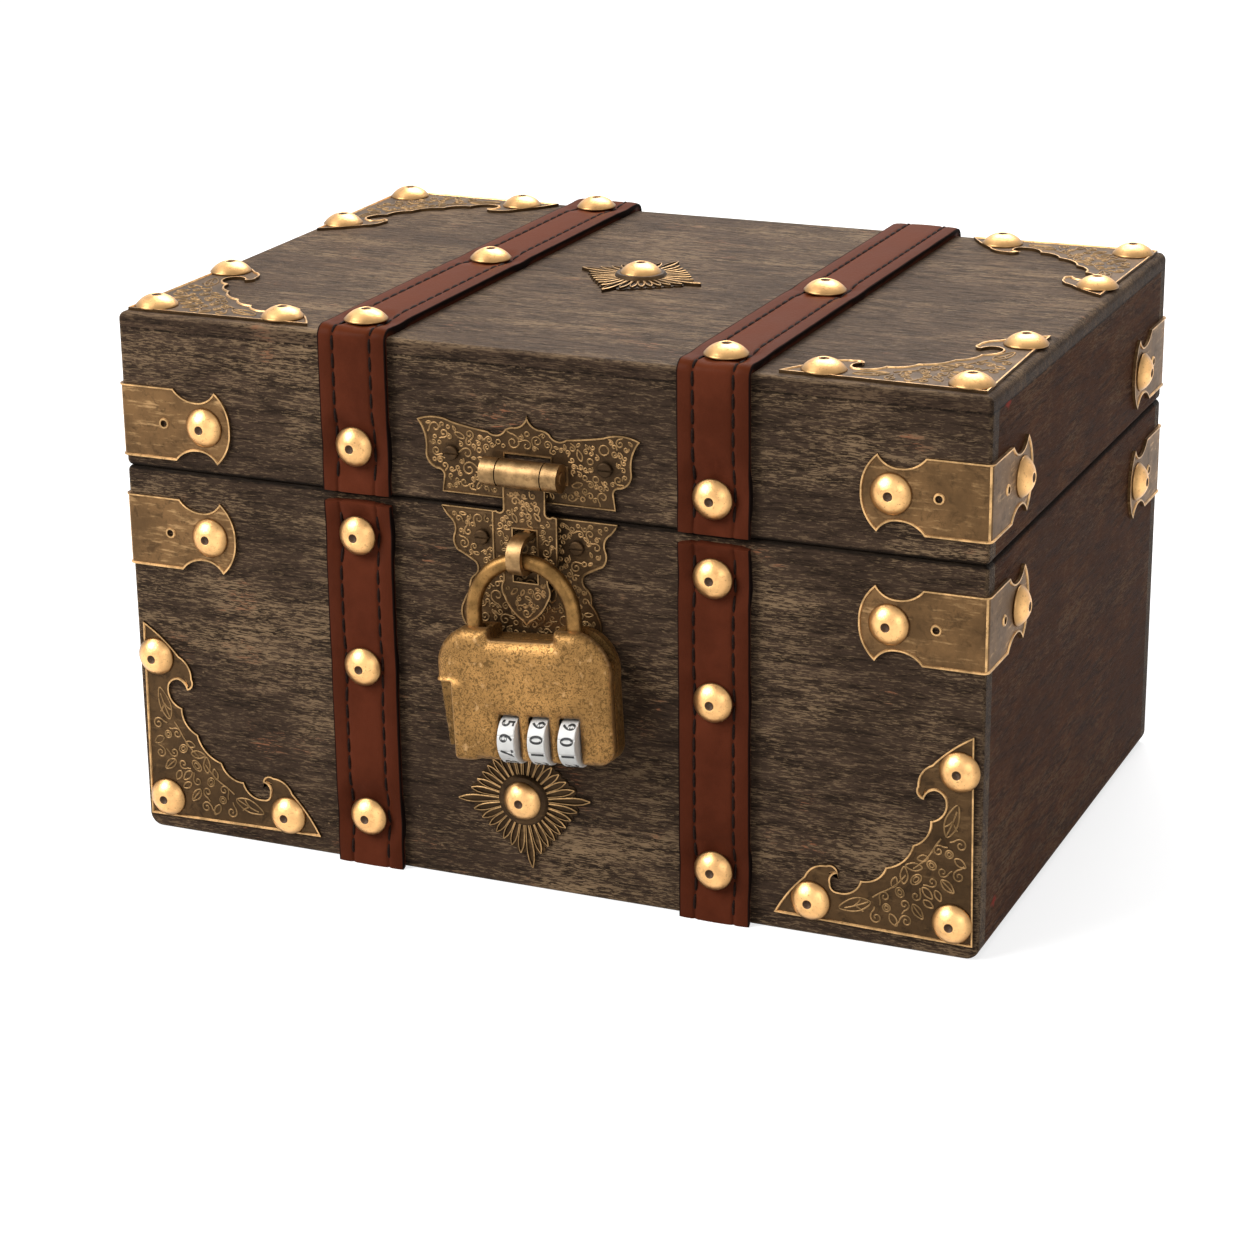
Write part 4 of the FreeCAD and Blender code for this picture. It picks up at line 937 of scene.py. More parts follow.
class CHEST_OT_nails(bpy.types.Operator):
    """Drive the dome nails"""
    bl_idname = "chest.nails"
    bl_label = "Dome nails"

    def execute(self, context):
        sizes = context.scene.chest_sizes
        colours = context.scene.chest_colours
        metal = nail_metal("nail_brass", colours.nail_brass)
        dark = figure_paint("nail_dimple", (0.100, 0.048, 0.018, 1.0))
        nail = self.nail(sizes)
        paint_all_keep(nail, metal, dark)
        for body in ("base", "lid"):
            copies = []
            chance = random.Random(7)
            for point, outward in seats(body + "_dome_nails", sizes.nail_seat):
                turn = chance.uniform(0.0, 6.28)
                lean = Matrix.Rotation(chance.uniform(-0.035, 0.035), 4, "X")
                wide = 1.07 if body == "lid" and outward.z > 0.5 else 1.0
                spread = Matrix.Diagonal((wide, wide, 1.0, 1.0))
                copies.append(moved_copy(nail, seated(point, outward, turn) @ lean @ spread, body + "_nail"))
            heads = merged(copies, body + "_nails")
            hand_over(heads, body, "nail_brass", body + "_dome_nails")
        removed(nail)
        return {"FINISHED"}

    def nail(self, sizes):
        """One domed head turned from its profile, with a punched dimple."""
        radius = sizes.nail_radius
        height = sizes.nail_height
        dome = (radius ** 2 + height ** 2) / (2 * height)
        dimple = sizes.dimple_radius
        profile = [(radius * 0.90, -0.35 * MM), (radius * 0.985, -0.20 * MM), (radius, 0.10 * MM)]
        for index in range(1, 10):
            turn_share = 1.0 - index / 10.0
            out = radius * (1.0 - (1.0 - turn_share) ** 1.25)
            if out < dimple * 1.7:
                break
            profile.append((out, height - dome + math.sqrt(dome ** 2 - out ** 2)))
        rim = height - dome + math.sqrt(dome ** 2 - (dimple * 1.5) ** 2)
        profile += [(dimple * 1.5, rim), (dimple * 1.15, rim - 0.05 * MM), (dimple * 0.95, rim - 0.25 * MM),
                    (dimple * 0.72, rim - 0.85 * MM), (dimple * 0.3, rim - 1.0 * MM), (0.0, rim - 1.02 * MM)]
        bpy.ops.object.select_all(action="DESELECT")
        bpy.ops.mesh.primitive_plane_add(size=MM)
        made = added("nail")
        edit(made, "VERT")
        bpy.ops.mesh.select_all(action="SELECT")
        bpy.ops.mesh.merge(type="CENTER")
        work = bmesh.from_edit_mesh(made.data)
        for vertex in work.verts:
            vertex.co = Vector((profile[0][0], 0.0, profile[0][1]))
        bmesh.update_edit_mesh(made.data)
        for before, after in zip(profile, profile[1:]):
            step = (after[0] - before[0], 0.0, after[1] - before[1])
            bpy.ops.mesh.extrude_region_move(TRANSFORM_OT_translate={"value": step})
        bpy.ops.mesh.select_all(action="SELECT")
        bpy.ops.mesh.spin(steps=36, angle=2 * math.pi, center=(0, 0, 0), axis=(0, 0, 1))
        bpy.ops.mesh.select_all(action="SELECT")
        bpy.ops.mesh.remove_doubles(threshold=1e-6)
        bpy.ops.mesh.normals_make_consistent(inside=False)
        object_mode()
        top = max(made.data.polygons, key=lambda face: face.center.z)
        if top.normal.z < 0:
            made.data.flip_normals()
        smooth(made, 60)
        # Share of the radius, read by the nail brass to darken the head's edge with patina and painted shade
        layer = made.data.attributes.new("rim", "FLOAT", "POINT")
        for vertex, share in zip(made.data.vertices, layer.data):
            share.value = math.hypot(vertex.co.x, vertex.co.y) / radius
        made.data.materials.append(None)
        made.data.materials.append(None)
        floor = rim - 0.02 * MM
        for face in made.data.polygons:
            if math.hypot(face.center.x, face.center.y) < dimple * 1.25 and face.center.z < floor:
                face.material_index = 1
        return made


def paint_all_keep(piece, *materials):
    """Sets the materials and keeps which face has which."""
    indices = [face.material_index for face in piece.data.polygons]
    paint_all(piece, *materials)
    for face, index in zip(piece.data.polygons, indices):
        face.material_index = index


def around_corner(point):
    """Outward direction of a surface that wraps a vertical corner of the box."""
    u = max(0.0, abs(point.x) - (HALF_WIDTH - MM))
    v = max(0.0, abs(point.y) - (HALF_DEPTH - MM))
    direction = Vector((math.copysign(u, point.x), math.copysign(v, point.y), 0.0))
    return direction.normalized() if direction.length else Vector((0, 0, 1))


class CHEST_OT_brackets(bpy.types.Operator):
    """Raise the rims of the corner brackets"""
    bl_idname = "chest.brackets"
    bl_label = "Corner brackets"

    def execute(self, context):
        sizes = context.scene.chest_sizes
        colours = context.scene.chest_colours
        sheet = stamped_metal("bracket_brass", shade(colours.plate_brass, 0.90),
                              shade(colours.bright_brass, 0.75), 0.60)
        rim = rubbed_metal("bracket_rim", colours.bright_brass, colours.plate_brass)

        def outer(face):
            return face.normal.dot(around_corner(face.calc_center_median())) > 0.7

        for body in ("base", "lid"):
            for corner in ("front_left", "front_right", "back_left", "back_right"):
                node = "%s_bracket_%s" % (body, corner)
                piece = node_copy(node, node + "_stamped")
                raise_rim(piece, outer, sizes)
                paint_all(piece, sheet, rim)
                self.mark(piece, sizes)
                smooth(piece, 35)
                hand_over(piece, body, "stamped_brass", node)
        return {"FINISHED"}

    def mark(self, piece, sizes):
        """Bright rim faces: those near the full height of the sheet."""
        def bright(face):
            direction = around_corner(face.center)
            if min(abs(direction.x), abs(direction.y)) > 0.55 and face.normal.dot(direction) > 0.6:
                return True
            corner = Vector((math.copysign(HALF_WIDTH - MM, face.center.x),
                             math.copysign(HALF_DEPTH - MM, face.center.y), face.center.z))
            away = face.center - corner
            if abs(direction.x) > 0.99:
                away.y = 0.0
            if abs(direction.y) > 0.99:
                away.x = 0.0
            away.z = 0.0
            return away.length > 1.8 * MM - sizes.rim_height * 0.75 and face.normal.dot(direction) > -0.5
        two_tone(piece, bright)


def mirror_runs(runs, closed):
    """A drawing and its mirror image about the diagonal."""
    swapped = [[(v, u) for u, v in run] for run in runs]
    count = len(runs)
    return runs + swapped, list(closed) + [index + count for index in closed]


def corner_drawing():
    """Leafy filigree of a corner plate in shares of its width and height."""
    runs = [
        leaf((0.145, 0.500), (0.085, 0.680), 0.034),
        [(0.140, 0.520), (0.110, 0.580), (0.092, 0.640)],
        [(0.150, 0.560), (0.125, 0.570), (0.112, 0.590)],
        [(0.088, 0.545), (0.100, 0.560), (0.108, 0.580)],
        volute((0.070, 0.480), 0.034, 40, 1.3, 1.0, 0.02),
        volute((0.178, 0.440), 0.030, 120, 1.3, -1.0, 0.02),
        ring((0.125, 0.430), 0.020),
        ring((0.125, 0.430), 0.010),
        leaf((0.100, 0.415), (0.040, 0.375), 0.018),
        volute((0.075, 0.330), 0.033, 80, 1.35, -1.0, 0.025),
        [(0.165, 0.500), (0.190, 0.470), (0.215, 0.420), (0.255, 0.370), (0.300, 0.335)],
        ring((0.210, 0.365), 0.026, 0.8, 0.6),
        ring((0.210, 0.365), 0.013, 0.8, 0.6),
        leaf((0.225, 0.400), (0.285, 0.385), 0.016),
        leaf((0.250, 0.345), (0.345, 0.345), 0.020),
        volute((0.155, 0.340), 0.028, 200, 1.3, 1.0, 0.02),
        leaf((0.165, 0.305), (0.095, 0.245), 0.022),
        [(0.160, 0.300), (0.130, 0.275), (0.108, 0.255)],
        volute((0.205, 0.285), 0.028, 300, 1.2, -1.0, 0.02),
        leaf((0.190, 0.250), (0.160, 0.195), 0.016),
    ]
    closed = [0, 6, 7, 8, 11, 12, 13, 14, 16, 19]
    runs, closed = mirror_runs(runs, closed)
    centre = [ring((0.285, 0.285), 0.034, 0.62, -0.785), ring((0.285, 0.285), 0.018, 0.62, -0.785),
              leaf((0.255, 0.255), (0.200, 0.200), 0.018)]
    closed += [len(runs), len(runs) + 1, len(runs) + 2]
    return runs + centre, closed


class CHEST_OT_corner_plates(bpy.types.Operator):
    """Stamp the scalloped corner plates"""
    bl_idname = "chest.corner_plates"
    bl_label = "Corner plates"

    def execute(self, context):
        sizes = context.scene.chest_sizes
        colours = context.scene.chest_colours
        sheet = stamped_metal("corner_brass", shade(colours.plate_brass, 0.44), shade(colours.bright_brass, 0.5))
        rim = rubbed_metal("corner_rim", colours.bright_brass, colours.plate_brass)
        line = rubbed_metal("corner_scrolls", shade(colours.bright_brass, 0.40),
                            shade(colours.plate_brass, 0.4), 0.42)
        runs, closed = corner_drawing()
        for node, body in self.plates().items():
            piece = node_copy(node, node + "_stamped")
            low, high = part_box(node)
            upright = body == "base"
            outward = Vector((0, -1, 0)) if upright else Vector((0, 0, 1))
            level = -low.y if upright else high.z
            raise_rim(piece, lambda face: face.normal.dot(outward) > 0.9, sizes, True, outward, level)
            paint_all(piece, sheet, rim)
            limit = level - sizes.rim_height * 0.75
            two_tone(piece, lambda face: face.center.dot(outward) > limit)
            place = self.place(node, low, high, upright, level - sizes.rim_height - 0.02 * MM)
            lines = embossed(node + "_lines", runs, closed, place, sizes.scroll_radius)
            paint_all(lines, sheet, line)
            two_tone(lines, lambda face: face.center.dot(outward) > level - sizes.rim_height + 0.08 * MM)
            piece = merged([piece, lines], node + "_stamped")
            smooth(piece, 35)
            hand_over(piece, body, "stamped_brass", node)
        return {"FINISHED"}

    def plates(self):
        found = {"base_corner_plate_left": "base", "base_corner_plate_right": "base"}
        for corner in ("front_left", "front_right", "back_left", "back_right"):
            found["lid_corner_plate_" + corner] = "lid"
        return found

    def place(self, node, low, high, upright, level):
        """Function from drawing shares to a point on the plate's floor."""
        size = high - low
        right = "right" in node
        back = "back" in node

        def point(u, v):
            across = high.x - u * size.x if right else low.x + u * size.x
            if upright:
                return Vector((across, -level, low.z + v * size.z))
            depth = high.y - v * size.y if back else low.y + v * size.y
            return Vector((across, depth, level))

        return point


class CHEST_OT_stars(bpy.types.Operator):
    """Stamp the ribbed stars"""
    bl_idname = "chest.stars"
    bl_label = "Ribbed stars"

    shares = (1.0, 0.80, 0.73, 0.70, 0.69, 0.70, 0.73, 0.80)

    def execute(self, context):
        colours = context.scene.chest_colours
        sheet = stamped_metal("star_brass", shade(colours.plate_brass, 0.30), shade(colours.bright_brass, 0.45))
        edge = rubbed_metal("star_rim", shade(colours.bright_brass, 0.62), shade(colours.plate_brass, 0.6))
        petal = self.petal()
        paint_all_keep(petal, sheet, edge)
        for node, body, outward, turn in (("base_star", "base", Vector((0, -1, 0)), 6.5),
                                          ("lid_star", "lid", Vector((0, 0, 1)), -10.0)):
            plate = node_copy(node, node + "_plate")
            seat = self.seat(node, body, outward, context.scene.chest_sizes.nail_seat)
            frame_matrix = self.frame_matrix(seat, outward, turn)
            copies = []
            for index in range(32):
                share = self.shares[index % 8]
                spin = Matrix.Rotation(index * math.pi / 16, 4, "Z")
                long = Matrix.Diagonal((share, 0.55 + 0.45 * share, 1.0, 1.0))
                copies.append(moved_copy(petal, frame_matrix @ spin @ long, "petal"))
            paint_all(plate, sheet, edge)
            self.flatten(plate, outward, seat)
            petals = merged(copies, node + "_petals")
            piece = merged([plate, petals], node + "_stamped")
            smooth(piece, 40)
            hand_over(piece, body, "stamped_brass", node)
        removed(petal)
        return {"FINISHED"}

    def seat(self, node, body, outward, nail_seat):
        """The star's centre on the board, under its nail."""
        low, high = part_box(node)
        best = None
        for point, direction in seats(body + "_dome_nails", nail_seat):
            inside = all(low[axis] - 0.006 < point[axis] < high[axis] + 0.006 for axis in range(3))
            if inside and direction.dot(outward) > 0.9:
                best = point
        return Vector((best.x, -HALF_DEPTH, best.z)) if outward.y else Vector((best.x, best.y, HEIGHT))

    def frame_matrix(self, seat, outward, turn):
        """Matrix from a drawing that faces up to the star's place and turn."""
        upright = Matrix(((1, 0, 0, 0), (0, 0, -1, 0), (0, 1, 0, 0), (0, 0, 0, 1)))
        spun = Matrix.Translation(seat) @ Matrix.Rotation(math.radians(turn), 4, outward)
        return spun @ upright if outward.y else spun

    def flatten(self, plate, outward, seat):
        """Lowers the flat of the plate so that the petals stand on it."""
        for vertex in plate.data.vertices:
            rise = (vertex.co - seat).dot(outward)
            if 0.9 * MM < rise < 1.1 * MM:
                vertex.co -= outward * 0.6 * MM

    def petal(self):
        """One hollow rib, from the boss out to the tip."""
        inner = 5.8
        outer = 18.2
        bpy.ops.object.select_all(action="DESELECT")
        bpy.ops.mesh.primitive_grid_add(x_subdivisions=6, y_subdivisions=2, size=2.0)
        made = added("petal")
        widths = (0.42, 0.62, 0.82, 0.98, 1.06, 0.86, 0.22)
        for vertex in made.data.vertices:
            step = round((vertex.co.x + 1.0) * 3)
            along = inner + (outer - inner) * step / 6.0
            vertex.co = Vector((along * MM, vertex.co.y * widths[step] * MM, 0.35 * MM))
        edit(made)
        bpy.ops.mesh.select_all(action="SELECT")
        bpy.ops.mesh.extrude_region_move(TRANSFORM_OT_translate={"value": (0.0, 0.0, 0.55 * MM)})
        bpy.ops.mesh.inset(thickness=0.16 * MM, depth=0.10 * MM, use_even_offset=True)
        bpy.ops.mesh.inset(thickness=0.14 * MM, depth=0.0, use_even_offset=True)
        bpy.ops.mesh.inset(thickness=0.14 * MM, depth=-0.45 * MM, use_even_offset=True)
        bpy.ops.mesh.select_all(action="SELECT")
        bpy.ops.mesh.normals_make_consistent(inside=False)
        object_mode()
        made.data.materials.append(None)
        made.data.materials.append(None)
        two_tone(made, lambda face: face.center.z > 0.80 * MM)
        return made


def front_plate_piece(node, name, sizes, metals, scroll_sizes, count, seed, keep_out):
    """Stamped and embossed plate of the hasp that faces the front."""
    sheet, rim, line = metals
    piece = node_copy(node, name)
    outward = Vector((0, -1, 0))
    work = frame["nodes"][node].data
    flats = {}
    for face in work.polygons:
        if face.normal.dot(outward) > 0.98:
            key = round(face.center.y / (0.05 * MM))
            flats[key] = flats.get(key, 0.0) + face.area
    level = max(flats, key=flats.get) * 0.05 * MM

    def outer(face):
        return face.normal.dot(outward) > 0.98 and abs(face.calc_center_median().y - level) < 0.06 * MM

    raise_rim(piece, outer, sizes, False, outward, -level)
    paint_all(piece, sheet, rim)
    limit = -level - sizes.rim_height * 0.75
    axis = Vector(next(joint["pos_m"] for joint in frame["joints"] if joint["name"] == "hasp_hinge"))

    def bright(face):
        on_rim = limit < -face.center.y < 0.1 * MM - level
        # The barrel takes the bright rim brass as a painted highlight
        barrel_highlight = math.hypot(face.center.y - axis.y, face.center.z - axis.z) < 3.7 * MM
        return on_rim or barrel_highlight and face.center.y < level - 0.6 * MM

    two_tone(piece, bright)
    runs, closed = packed_scrolls(node, outward, level, scroll_sizes, count, seed, keep_out)
    floor = level + sizes.rim_height + 0.02 * MM
    lines = embossed(name + "_lines", runs, closed, lambda u, v: Vector((u, floor, v)), sizes.scroll_radius)
    paint_all(lines, sheet, line)
    two_tone(lines, lambda face: face.center.y < floor - 0.08 * MM)
    piece = merged([piece, lines], name)
    smooth(piece, 35)
    return piece


class CHEST_OT_hasp(bpy.types.Operator):
    """Stamp the butterfly hasp"""
    bl_idname = "chest.hasp"
    bl_label = "Hasp"

    def execute(self, context):
        sizes = context.scene.chest_sizes
        colours = context.scene.chest_colours
        sheet = stamped_metal("hasp_brass", shade(colours.plate_brass, 0.40), shade(colours.bright_brass, 0.5))
        # Rubbed rim brass, also laid on the hasp's barrel as a painted highlight
        rim = rubbed_metal("hasp_rim_and_barrel_highlight", shade(colours.bright_brass, 0.50), shade(colours.plate_brass, 0.6))
        line = rubbed_metal("hasp_scrolls", shade(colours.bright_brass, 0.46),
                            shade(colours.plate_brass, 0.5), 0.46)
        metals = (sheet, rim, line)
        knuckle = rubbed_metal("hasp_knuckle", shade(colours.bright_brass, 0.52), colours.plate_brass)
        screws = [(Vector((point.x, point.z)), 0.0030) for node in ("lid_screws", "base_screws")
                  for point, outward in seats(node, 0.9 * MM) if outward.y < 0]
        fine = (0.7, 0.95, 1.25, 1.6)
        coarse = (*fine, 2.1)
        for body, node, spread, count, seed, keep_out in (("lid", "hasp_upper_plate", coarse, 330, 11, screws),
                                                          ("base", "hasp_lower_plate", coarse, 300, 23, screws),
                                                          ("hasp", "hasp_leaf", fine, 180, 5, ())):
            name = node.replace("_plate", "") + "_stamped"
            piece = front_plate_piece(node, name, sizes, metals, spread, count, seed, keep_out)
            hand_over(piece, body, "antique_brass", node)
        for name in ("staple", "hasp_pin"):
            paint_all(frame["nodes"][name], knuckle)
        return {"FINISHED"}


class CHEST_OT_hinges(bpy.types.Operator):
    """Finish the back hinges and the screws"""
    bl_idname = "chest.hinges"
    bl_label = "Hinges and screws"

    def execute(self, context):
        colours = context.scene.chest_colours
        sheet = stamped_metal("hinge_brass", colours.plate_brass, colours.bright_brass, 0.2)
        pin = steel("pin_steel", colours.steel)
        dark = stamped_metal("screw_metal", shade(colours.plate_brass, 0.35), colours.plate_brass)
        for name, node in frame["nodes"].items():
            if name.startswith("hinge_base_leaf") or name.startswith("hinge_lid_leaf"):
                paint_all(node, sheet)
            elif name == "hinge_pins":
                paint_all(node, pin)
            elif name.endswith("_screws"):
                paint_all(node, dark)
        return {"FINISHED"}


def lock_frame(joints):
    """Matrix of the padlock: x across, y to the back, z up, from the top of the shackle."""
    x = Vector(joints["dial_1"]["axis"]).normalized()
    y = -Vector(joints["case"]["axis"]).normalized()
    turn = Matrix((x, y, x.cross(y))).transposed().to_4x4()
    return Matrix.Translation(Vector(joints["shackle"]["pos_m"])) @ turn


def open_cells(tree, low, high, step, depth):
    """Middles of the cells where a ray from the front meets nothing within a depth, next to a met one."""
    columns = int((high.x - low.x) / step) + 5
    rows = int((high.z - low.z) / step) + 5
    met = numpy.zeros((columns, rows), dtype=bool)
    for column in range(columns):
        for row in range(rows):
            start = Vector((low.x + (column - 2) * step, low.y - 0.01, low.z + (row - 2) * step))
            met[column, row] = tree.ray_cast(start, Vector((0, 1, 0)), 0.01 + depth)[0] is not None
    near = numpy.zeros_like(met)
    near[1:-1, 1:-1] = met[:-2, 1:-1] | met[2:, 1:-1] | met[1:-1, :-2] | met[1:-1, 2:]
    cells = numpy.argwhere(near & ~met) - 2
    return cells * step + numpy.array((low.x, low.z))


def nearest(points, cells):
    """Distance from each point to the nearest cell."""
    reach = numpy.full(len(points), 1.0)
    for cell in cells:
        reach = numpy.minimum(reach, numpy.hypot(points[:, 0] - cell[0], points[:, 1] - cell[1]))
    return reach


# Where the lever lies beside the case, below its brow, and the case keeps its edge
LEVER_EDGE = 13.0 * MM
BROW_DROP = 28.8 * MM
LEVER_FADE = 2.0 * MM
CELL = 0.5 * MM


def rounded_case(matrix, sizes):
    """Front half of the padlock with softly rounded and worn edges."""
    piece = node_copy("lock_case_front", "lock_case_front_rounded")
    inverse = matrix.inverted()
    piece.data.transform(inverse)
    tree = ray_tree(piece.data)
    low, high = extent([vertex.co for vertex in piece.data.vertices])
    outline = open_cells(tree, low, high, CELL, high.y - low.y)
    edges = open_cells(tree, low, high, CELL, 2.4 * MM)
    apply_modifier(piece, "REMESH", mode="VOXEL", voxel_size=0.40 * MM, use_smooth_shade=True)
    count = len(piece.data.vertices)
    places = numpy.empty(count * 3)
    piece.data.vertices.foreach_get("co", places)
    places = places.reshape(count, 3)
    flat = places[:, (0, 2)]
    away = nearest(flat, outline)
    round_off = sizes.case_round
    share = numpy.clip((round_off - away) / round_off, 0.0, 1.0)
    forward = numpy.clip((high.y - places[:, 1]) / (high.y - low.y), 0.0, 1.0)
    lever_room = numpy.clip((-LEVER_EDGE - flat[:, 0]) / LEVER_FADE, 0.0, 1.0)
    lever_room = lever_room * numpy.clip((-BROW_DROP - flat[:, 1]) / LEVER_FADE, 0.0, 1.0)
    share = share * (1.0 - lever_room)
    places[:, 1] += sizes.case_fall * (1.0 - numpy.sqrt(1.0 - share ** 2)) * forward
    places[:, 1] += sizes.case_bulge * (places[:, 0] / high.x) ** 2 * forward * (1.0 - lever_room)
    piece.data.vertices.foreach_set("co", places.ravel())
    wear = numpy.clip(1.0 - nearest(flat, edges) / (0.9 * MM), 0.0, 1.0) * (forward > 0.45)
    layer = piece.data.attributes.new("wear", "FLOAT", "POINT")
    layer.data.foreach_set("value", wear)
    apply_modifier(piece, "SMOOTH", factor=0.5, iterations=3)
    piece.data.transform(matrix)
    return piece


def rounded_lever(matrix):
    """The padlock's lever, rounded and set back behind the case's face."""
    piece = node_copy("lock_lever", "lock_lever_rounded")
    piece.data.transform(matrix.inverted())
    depths = [vertex.co.y for vertex in piece.data.vertices]
    middle = (min(depths) + max(depths)) / 2
    for vertex in piece.data.vertices:
        vertex.co.y = middle + (vertex.co.y - middle) * 0.75
    piece.data.transform(matrix)
    apply_modifier(piece, "REMESH", mode="VOXEL", voxel_size=0.33 * MM, use_smooth_shade=True)
    apply_modifier(piece, "SMOOTH", factor=0.5, iterations=4)
    return piece


class CHEST_OT_padlock(bpy.types.Operator):
    """Finish the padlock and number its wheels"""
    bl_idname = "chest.padlock"
    bl_label = "Padlock"

    def execute(self, context):
        colours = context.scene.chest_colours
        sizes = context.scene.chest_sizes
        bronze = mottled_bronze("padlock_bronze", colours.bronze, colours.bright_brass)
        wire = rubbed_metal("shackle_bronze", shade(colours.bronze, 0.70), shade(colours.bronze, 0.25))
        white = wheel_paint("wheel_paint", colours.dial)
        dark = figure_paint("figure_paint", colours.figures)
        pin = steel("lock_steel", colours.steel)
        nodes = frame["nodes"]
        for name in ("lock_case_back", "lock_rivets", "lock_lever_pin"):
            paint_all(nodes[name], bronze)
        joints = {joint["child"]: joint for joint in frame["joints"]}
        matrix = lock_frame(joints)
        # Darker bronze for the lever: painted shade, as it lies in shadow under the case's brow
        shaded = mottled_bronze("lever_bronze_painted_shade", shade(colours.bronze, 0.50), shade(colours.bright_brass, 0.5))
        lever = rounded_lever(matrix)
        paint_all(lever, shaded)
        hand_over(lever, "lever", "padlock_bronze", "lock_lever")
        for name in ("lock_dial_axle", "lock_pivot_pin", "lock_lever_spring"):
            paint_all(nodes[name], pin)
        case = rounded_case(matrix, sizes)
        paint_all(case, bronze)
        hand_over(case, "case", "padlock_bronze", "lock_case_front")
        shackle = node_copy("lock_shackle", "lock_shackle_wire")
        apply_modifier(shackle, "DISPLACE", strength=sizes.shackle_swell, mid_level=0.0, direction="NORMAL")
        paint_all(shackle, wire)
        smooth(shackle, 45)
        hand_over(shackle, "shackle", "padlock_bronze", "lock_shackle")
        for index in (1, 2, 3):
            paint_all(nodes["lock_dial_%d" % index], white)
            self.figures(index, joints["dial_%d" % index], dark)
        return {"FINISHED"}

    def figures(self, index, joint, material):
        """Figures 0 to 9 round one wheel, turned to read along its axle."""
        centre = Vector(joint["pos_m"])
        axle = Vector(joint["axis"]).normalized()
        radius = 6.2 * MM
        out = Vector((0, -1, 0))
        out = (out - axle * out.dot(axle)).normalized()
        side = axle.cross(out)
        first = (7, 1, 1)[index - 1]
        copies = []
        for step in range(10):
            bpy.ops.object.select_all(action="DESELECT")
            bpy.ops.object.text_add()
            text = bpy.context.object
            text.data.body = str((first + step) % 10)
            text.data.size = 4.7 * MM
            text.data.align_x = "CENTER"
            text.data.align_y = "CENTER"
            text.data.extrude = 0.03 * MM
            text.data.offset = 0.07 * MM
            only(text)
            bpy.ops.object.convert(target="MESH")
            figure = bpy.context.object
            angle = step * math.pi / 5 + 0.31
            normal = out * math.cos(angle) + side * math.sin(angle)
            along = axle.cross(normal)
            for vertex in figure.data.vertices:
                u, v, w = vertex.co
                turn = u / radius
                around = normal * math.cos(turn) + along * math.sin(turn)
                vertex.co = centre + around * (radius + w + 0.01 * MM) + axle * v
            copies.append(figure)
        ring_of = merged(copies, "lock_dial_%d_figures" % index)
        paint_all(ring_of, material)
        hand_over(ring_of, "dial_%d" % index, "dial_white")


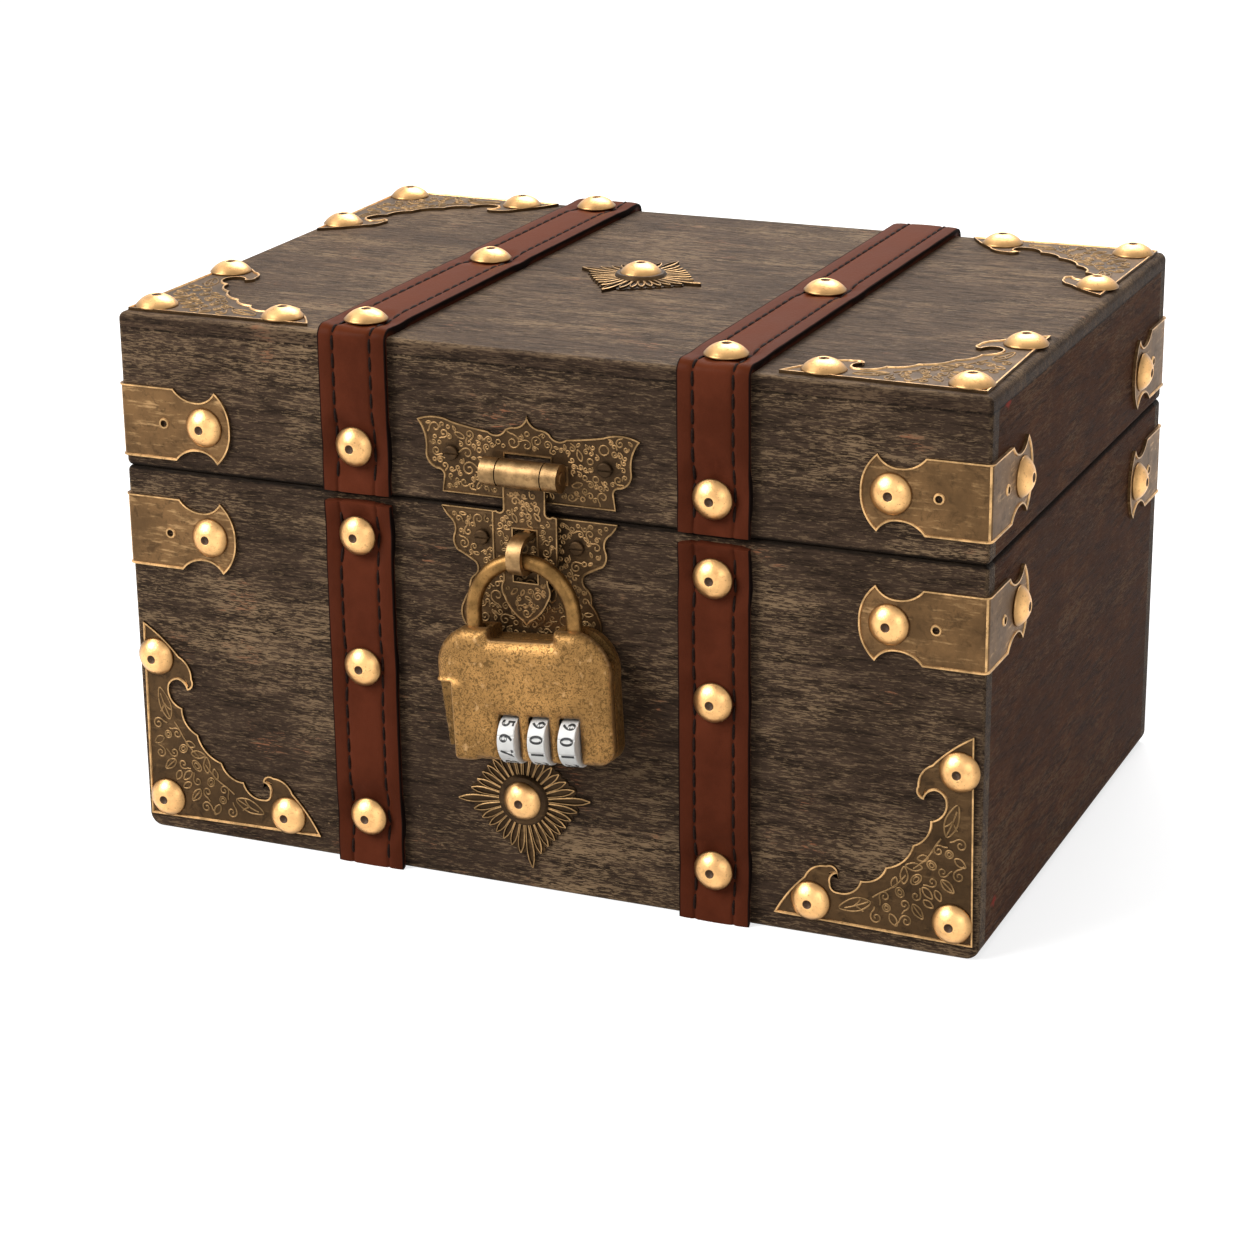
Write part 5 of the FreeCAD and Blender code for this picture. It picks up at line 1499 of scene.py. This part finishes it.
class CHEST_OT_stage(bpy.types.Operator):
    """Set the floor, the lamps and the camera"""
    bl_idname = "chest.stage"
    bl_label = "Stage"

    def execute(self, context):
        scene = context.scene
        bpy.ops.object.select_all(action="DESELECT")
        bpy.ops.mesh.primitive_plane_add(size=8.0, location=(0, 0, 0))
        floor = added("floor")
        paint_all(floor, self.floor_paint())
        world = bpy.data.worlds.new("studio")
        world.use_nodes = True
        scene.world = world
        self.sky(world.node_tree)
        self.lamp("key", (-0.95, -0.90, 1.10), 1.10, 27.0)
        self.lamp("fill", (1.05, -1.05, 0.60), 0.9, 3.2)
        self.lamp("top", (-0.15, 0.85, 1.20), 1.10, 17.0)
        self.camera(scene)
        scene.view_settings.view_transform = "Standard"
        return {"FINISHED"}

    def floor_paint(self):
        """Pale floor that the camera sees as white outside the shadow."""
        paint = Paint("floor", Roughness=0.9, Specular_IOR_Level=0.1, Emission_Strength=1.0)
        cloud = paint.noise(paint.place(), 3.0, 2.0)
        base = paint.mix(cloud, (0.50, 0.50, 0.50, 1.0), (0.53, 0.53, 0.53, 1.0))
        seen = paint.node("ShaderNodeLightPath", out="Is Camera Ray")
        seen = seen.most(paint.node("ShaderNodeLightPath", out="Is Glossy Ray"))
        seen = seen.most(paint.node("ShaderNodeLightPath", out="Is Transmission Ray"))
        glow = paint.mix(seen, (0.0, 0.0, 0.0, 1.0), (0.74, 0.74, 0.74, 1.0))
        return paint.finish(Base_Color=base, Emission_Color=glow)

    def sky(self, tree):
        """White world that lights the chest weakly and is seen at full strength."""
        tree.nodes.clear()
        output = tree.nodes.new("ShaderNodeOutputWorld")
        mix = tree.nodes.new("ShaderNodeMixShader")
        for slot, strength in ((1, 0.20), (2, 1.0)):
            light = tree.nodes.new("ShaderNodeBackground")
            light.inputs["Color"].default_value = (1.0, 1.0, 1.0, 1.0)
            light.inputs["Strength"].default_value = strength
            tree.links.new(light.outputs[0], mix.inputs[slot])
        path = tree.nodes.new("ShaderNodeLightPath")
        rays = path.outputs["Is Camera Ray"]
        for kind in ("Is Glossy Ray", "Is Transmission Ray"):
            either = tree.nodes.new("ShaderNodeMath")
            either.operation = "MAXIMUM"
            tree.links.new(rays, either.inputs[0])
            tree.links.new(path.outputs[kind], either.inputs[1])
            rays = either.outputs[0]
        tree.links.new(rays, mix.inputs[0])
        tree.links.new(mix.outputs[0], output.inputs[0])

    def lamp(self, name, place, size, power):
        bpy.ops.object.select_all(action="DESELECT")
        bpy.ops.object.light_add(type="AREA", location=place)
        lamp = added(name)
        lamp.data.energy = power
        lamp.data.shape = "DISK"
        lamp.data.size = size
        aim = Vector((0, 0, HEIGHT / 2)) - Vector(place)
        lamp.rotation_euler = aim.to_track_quat("-Z", "Y").to_euler()

    def camera(self, scene):
        bpy.ops.object.select_all(action="DESELECT")
        bpy.ops.object.camera_add()
        camera = added("camera")
        width = 2 * HALF_WIDTH
        yaw, pitch, roll = math.radians(23.45), math.radians(19.41), math.radians(-0.68)
        back = Vector((math.sin(yaw) * math.cos(pitch), -math.cos(yaw) * math.cos(pitch), math.sin(pitch)))
        right = Vector((math.cos(yaw), math.sin(yaw), 0.0))
        up = back.cross(right)
        side = right * math.cos(roll) + up * math.sin(roll)
        over = up * math.cos(roll) - right * math.sin(roll)
        place = back * (3.863 * width) - side * (0.041 * width) + over * (0.1838 * width)
        turn = Matrix((side, over, back)).transposed().to_4x4()
        camera.matrix_world = Matrix.Translation(place) @ turn
        camera.data.lens = 93.0
        camera.data.sensor_width = 36.0
        camera.data.clip_start = 0.01
        camera.data.clip_end = 20.0
        scene.camera = camera


OPERATORS = (CHEST_OT_boards, CHEST_OT_straps, CHEST_OT_brackets, CHEST_OT_corner_plates, CHEST_OT_stars,
             CHEST_OT_nails, CHEST_OT_hasp, CHEST_OT_hinges, CHEST_OT_padlock, CHEST_OT_stage)


class CHEST_PT_panel(bpy.types.Panel):
    """Lists the steps and settings of the chest"""
    bl_idname = "CHEST_PT_panel"
    bl_label = "Treasure Chest"
    bl_space_type = "VIEW_3D"
    bl_region_type = "UI"
    bl_category = "Chest"

    def draw(self, context):
        for settings in (context.scene.chest_sizes, context.scene.chest_colours):
            box = self.layout.box()
            for name in settings.__annotations__:
                box.prop(settings, name)
        for operator in OPERATORS:
            self.layout.operator(operator.bl_idname)


CLASSES = (ChestSizes, ChestColours, *OPERATORS, CHEST_PT_panel)


def register():
    for item in CLASSES:
        bpy.utils.register_class(item)
    bpy.types.Scene.chest_sizes = bpy.props.PointerProperty(type=ChestSizes)
    bpy.types.Scene.chest_colours = bpy.props.PointerProperty(type=ChestColours)


def unregister():
    del bpy.types.Scene.chest_colours
    del bpy.types.Scene.chest_sizes
    for item in reversed(CLASSES):
        bpy.utils.unregister_class(item)


def main():
    register()
    bpy.ops.object.select_all(action="DESELECT")
    for operator in OPERATORS:
        group, name = operator.bl_idname.split(".")
        getattr(getattr(bpy.ops, group), name)()


if __name__ == "__main__":
    main()
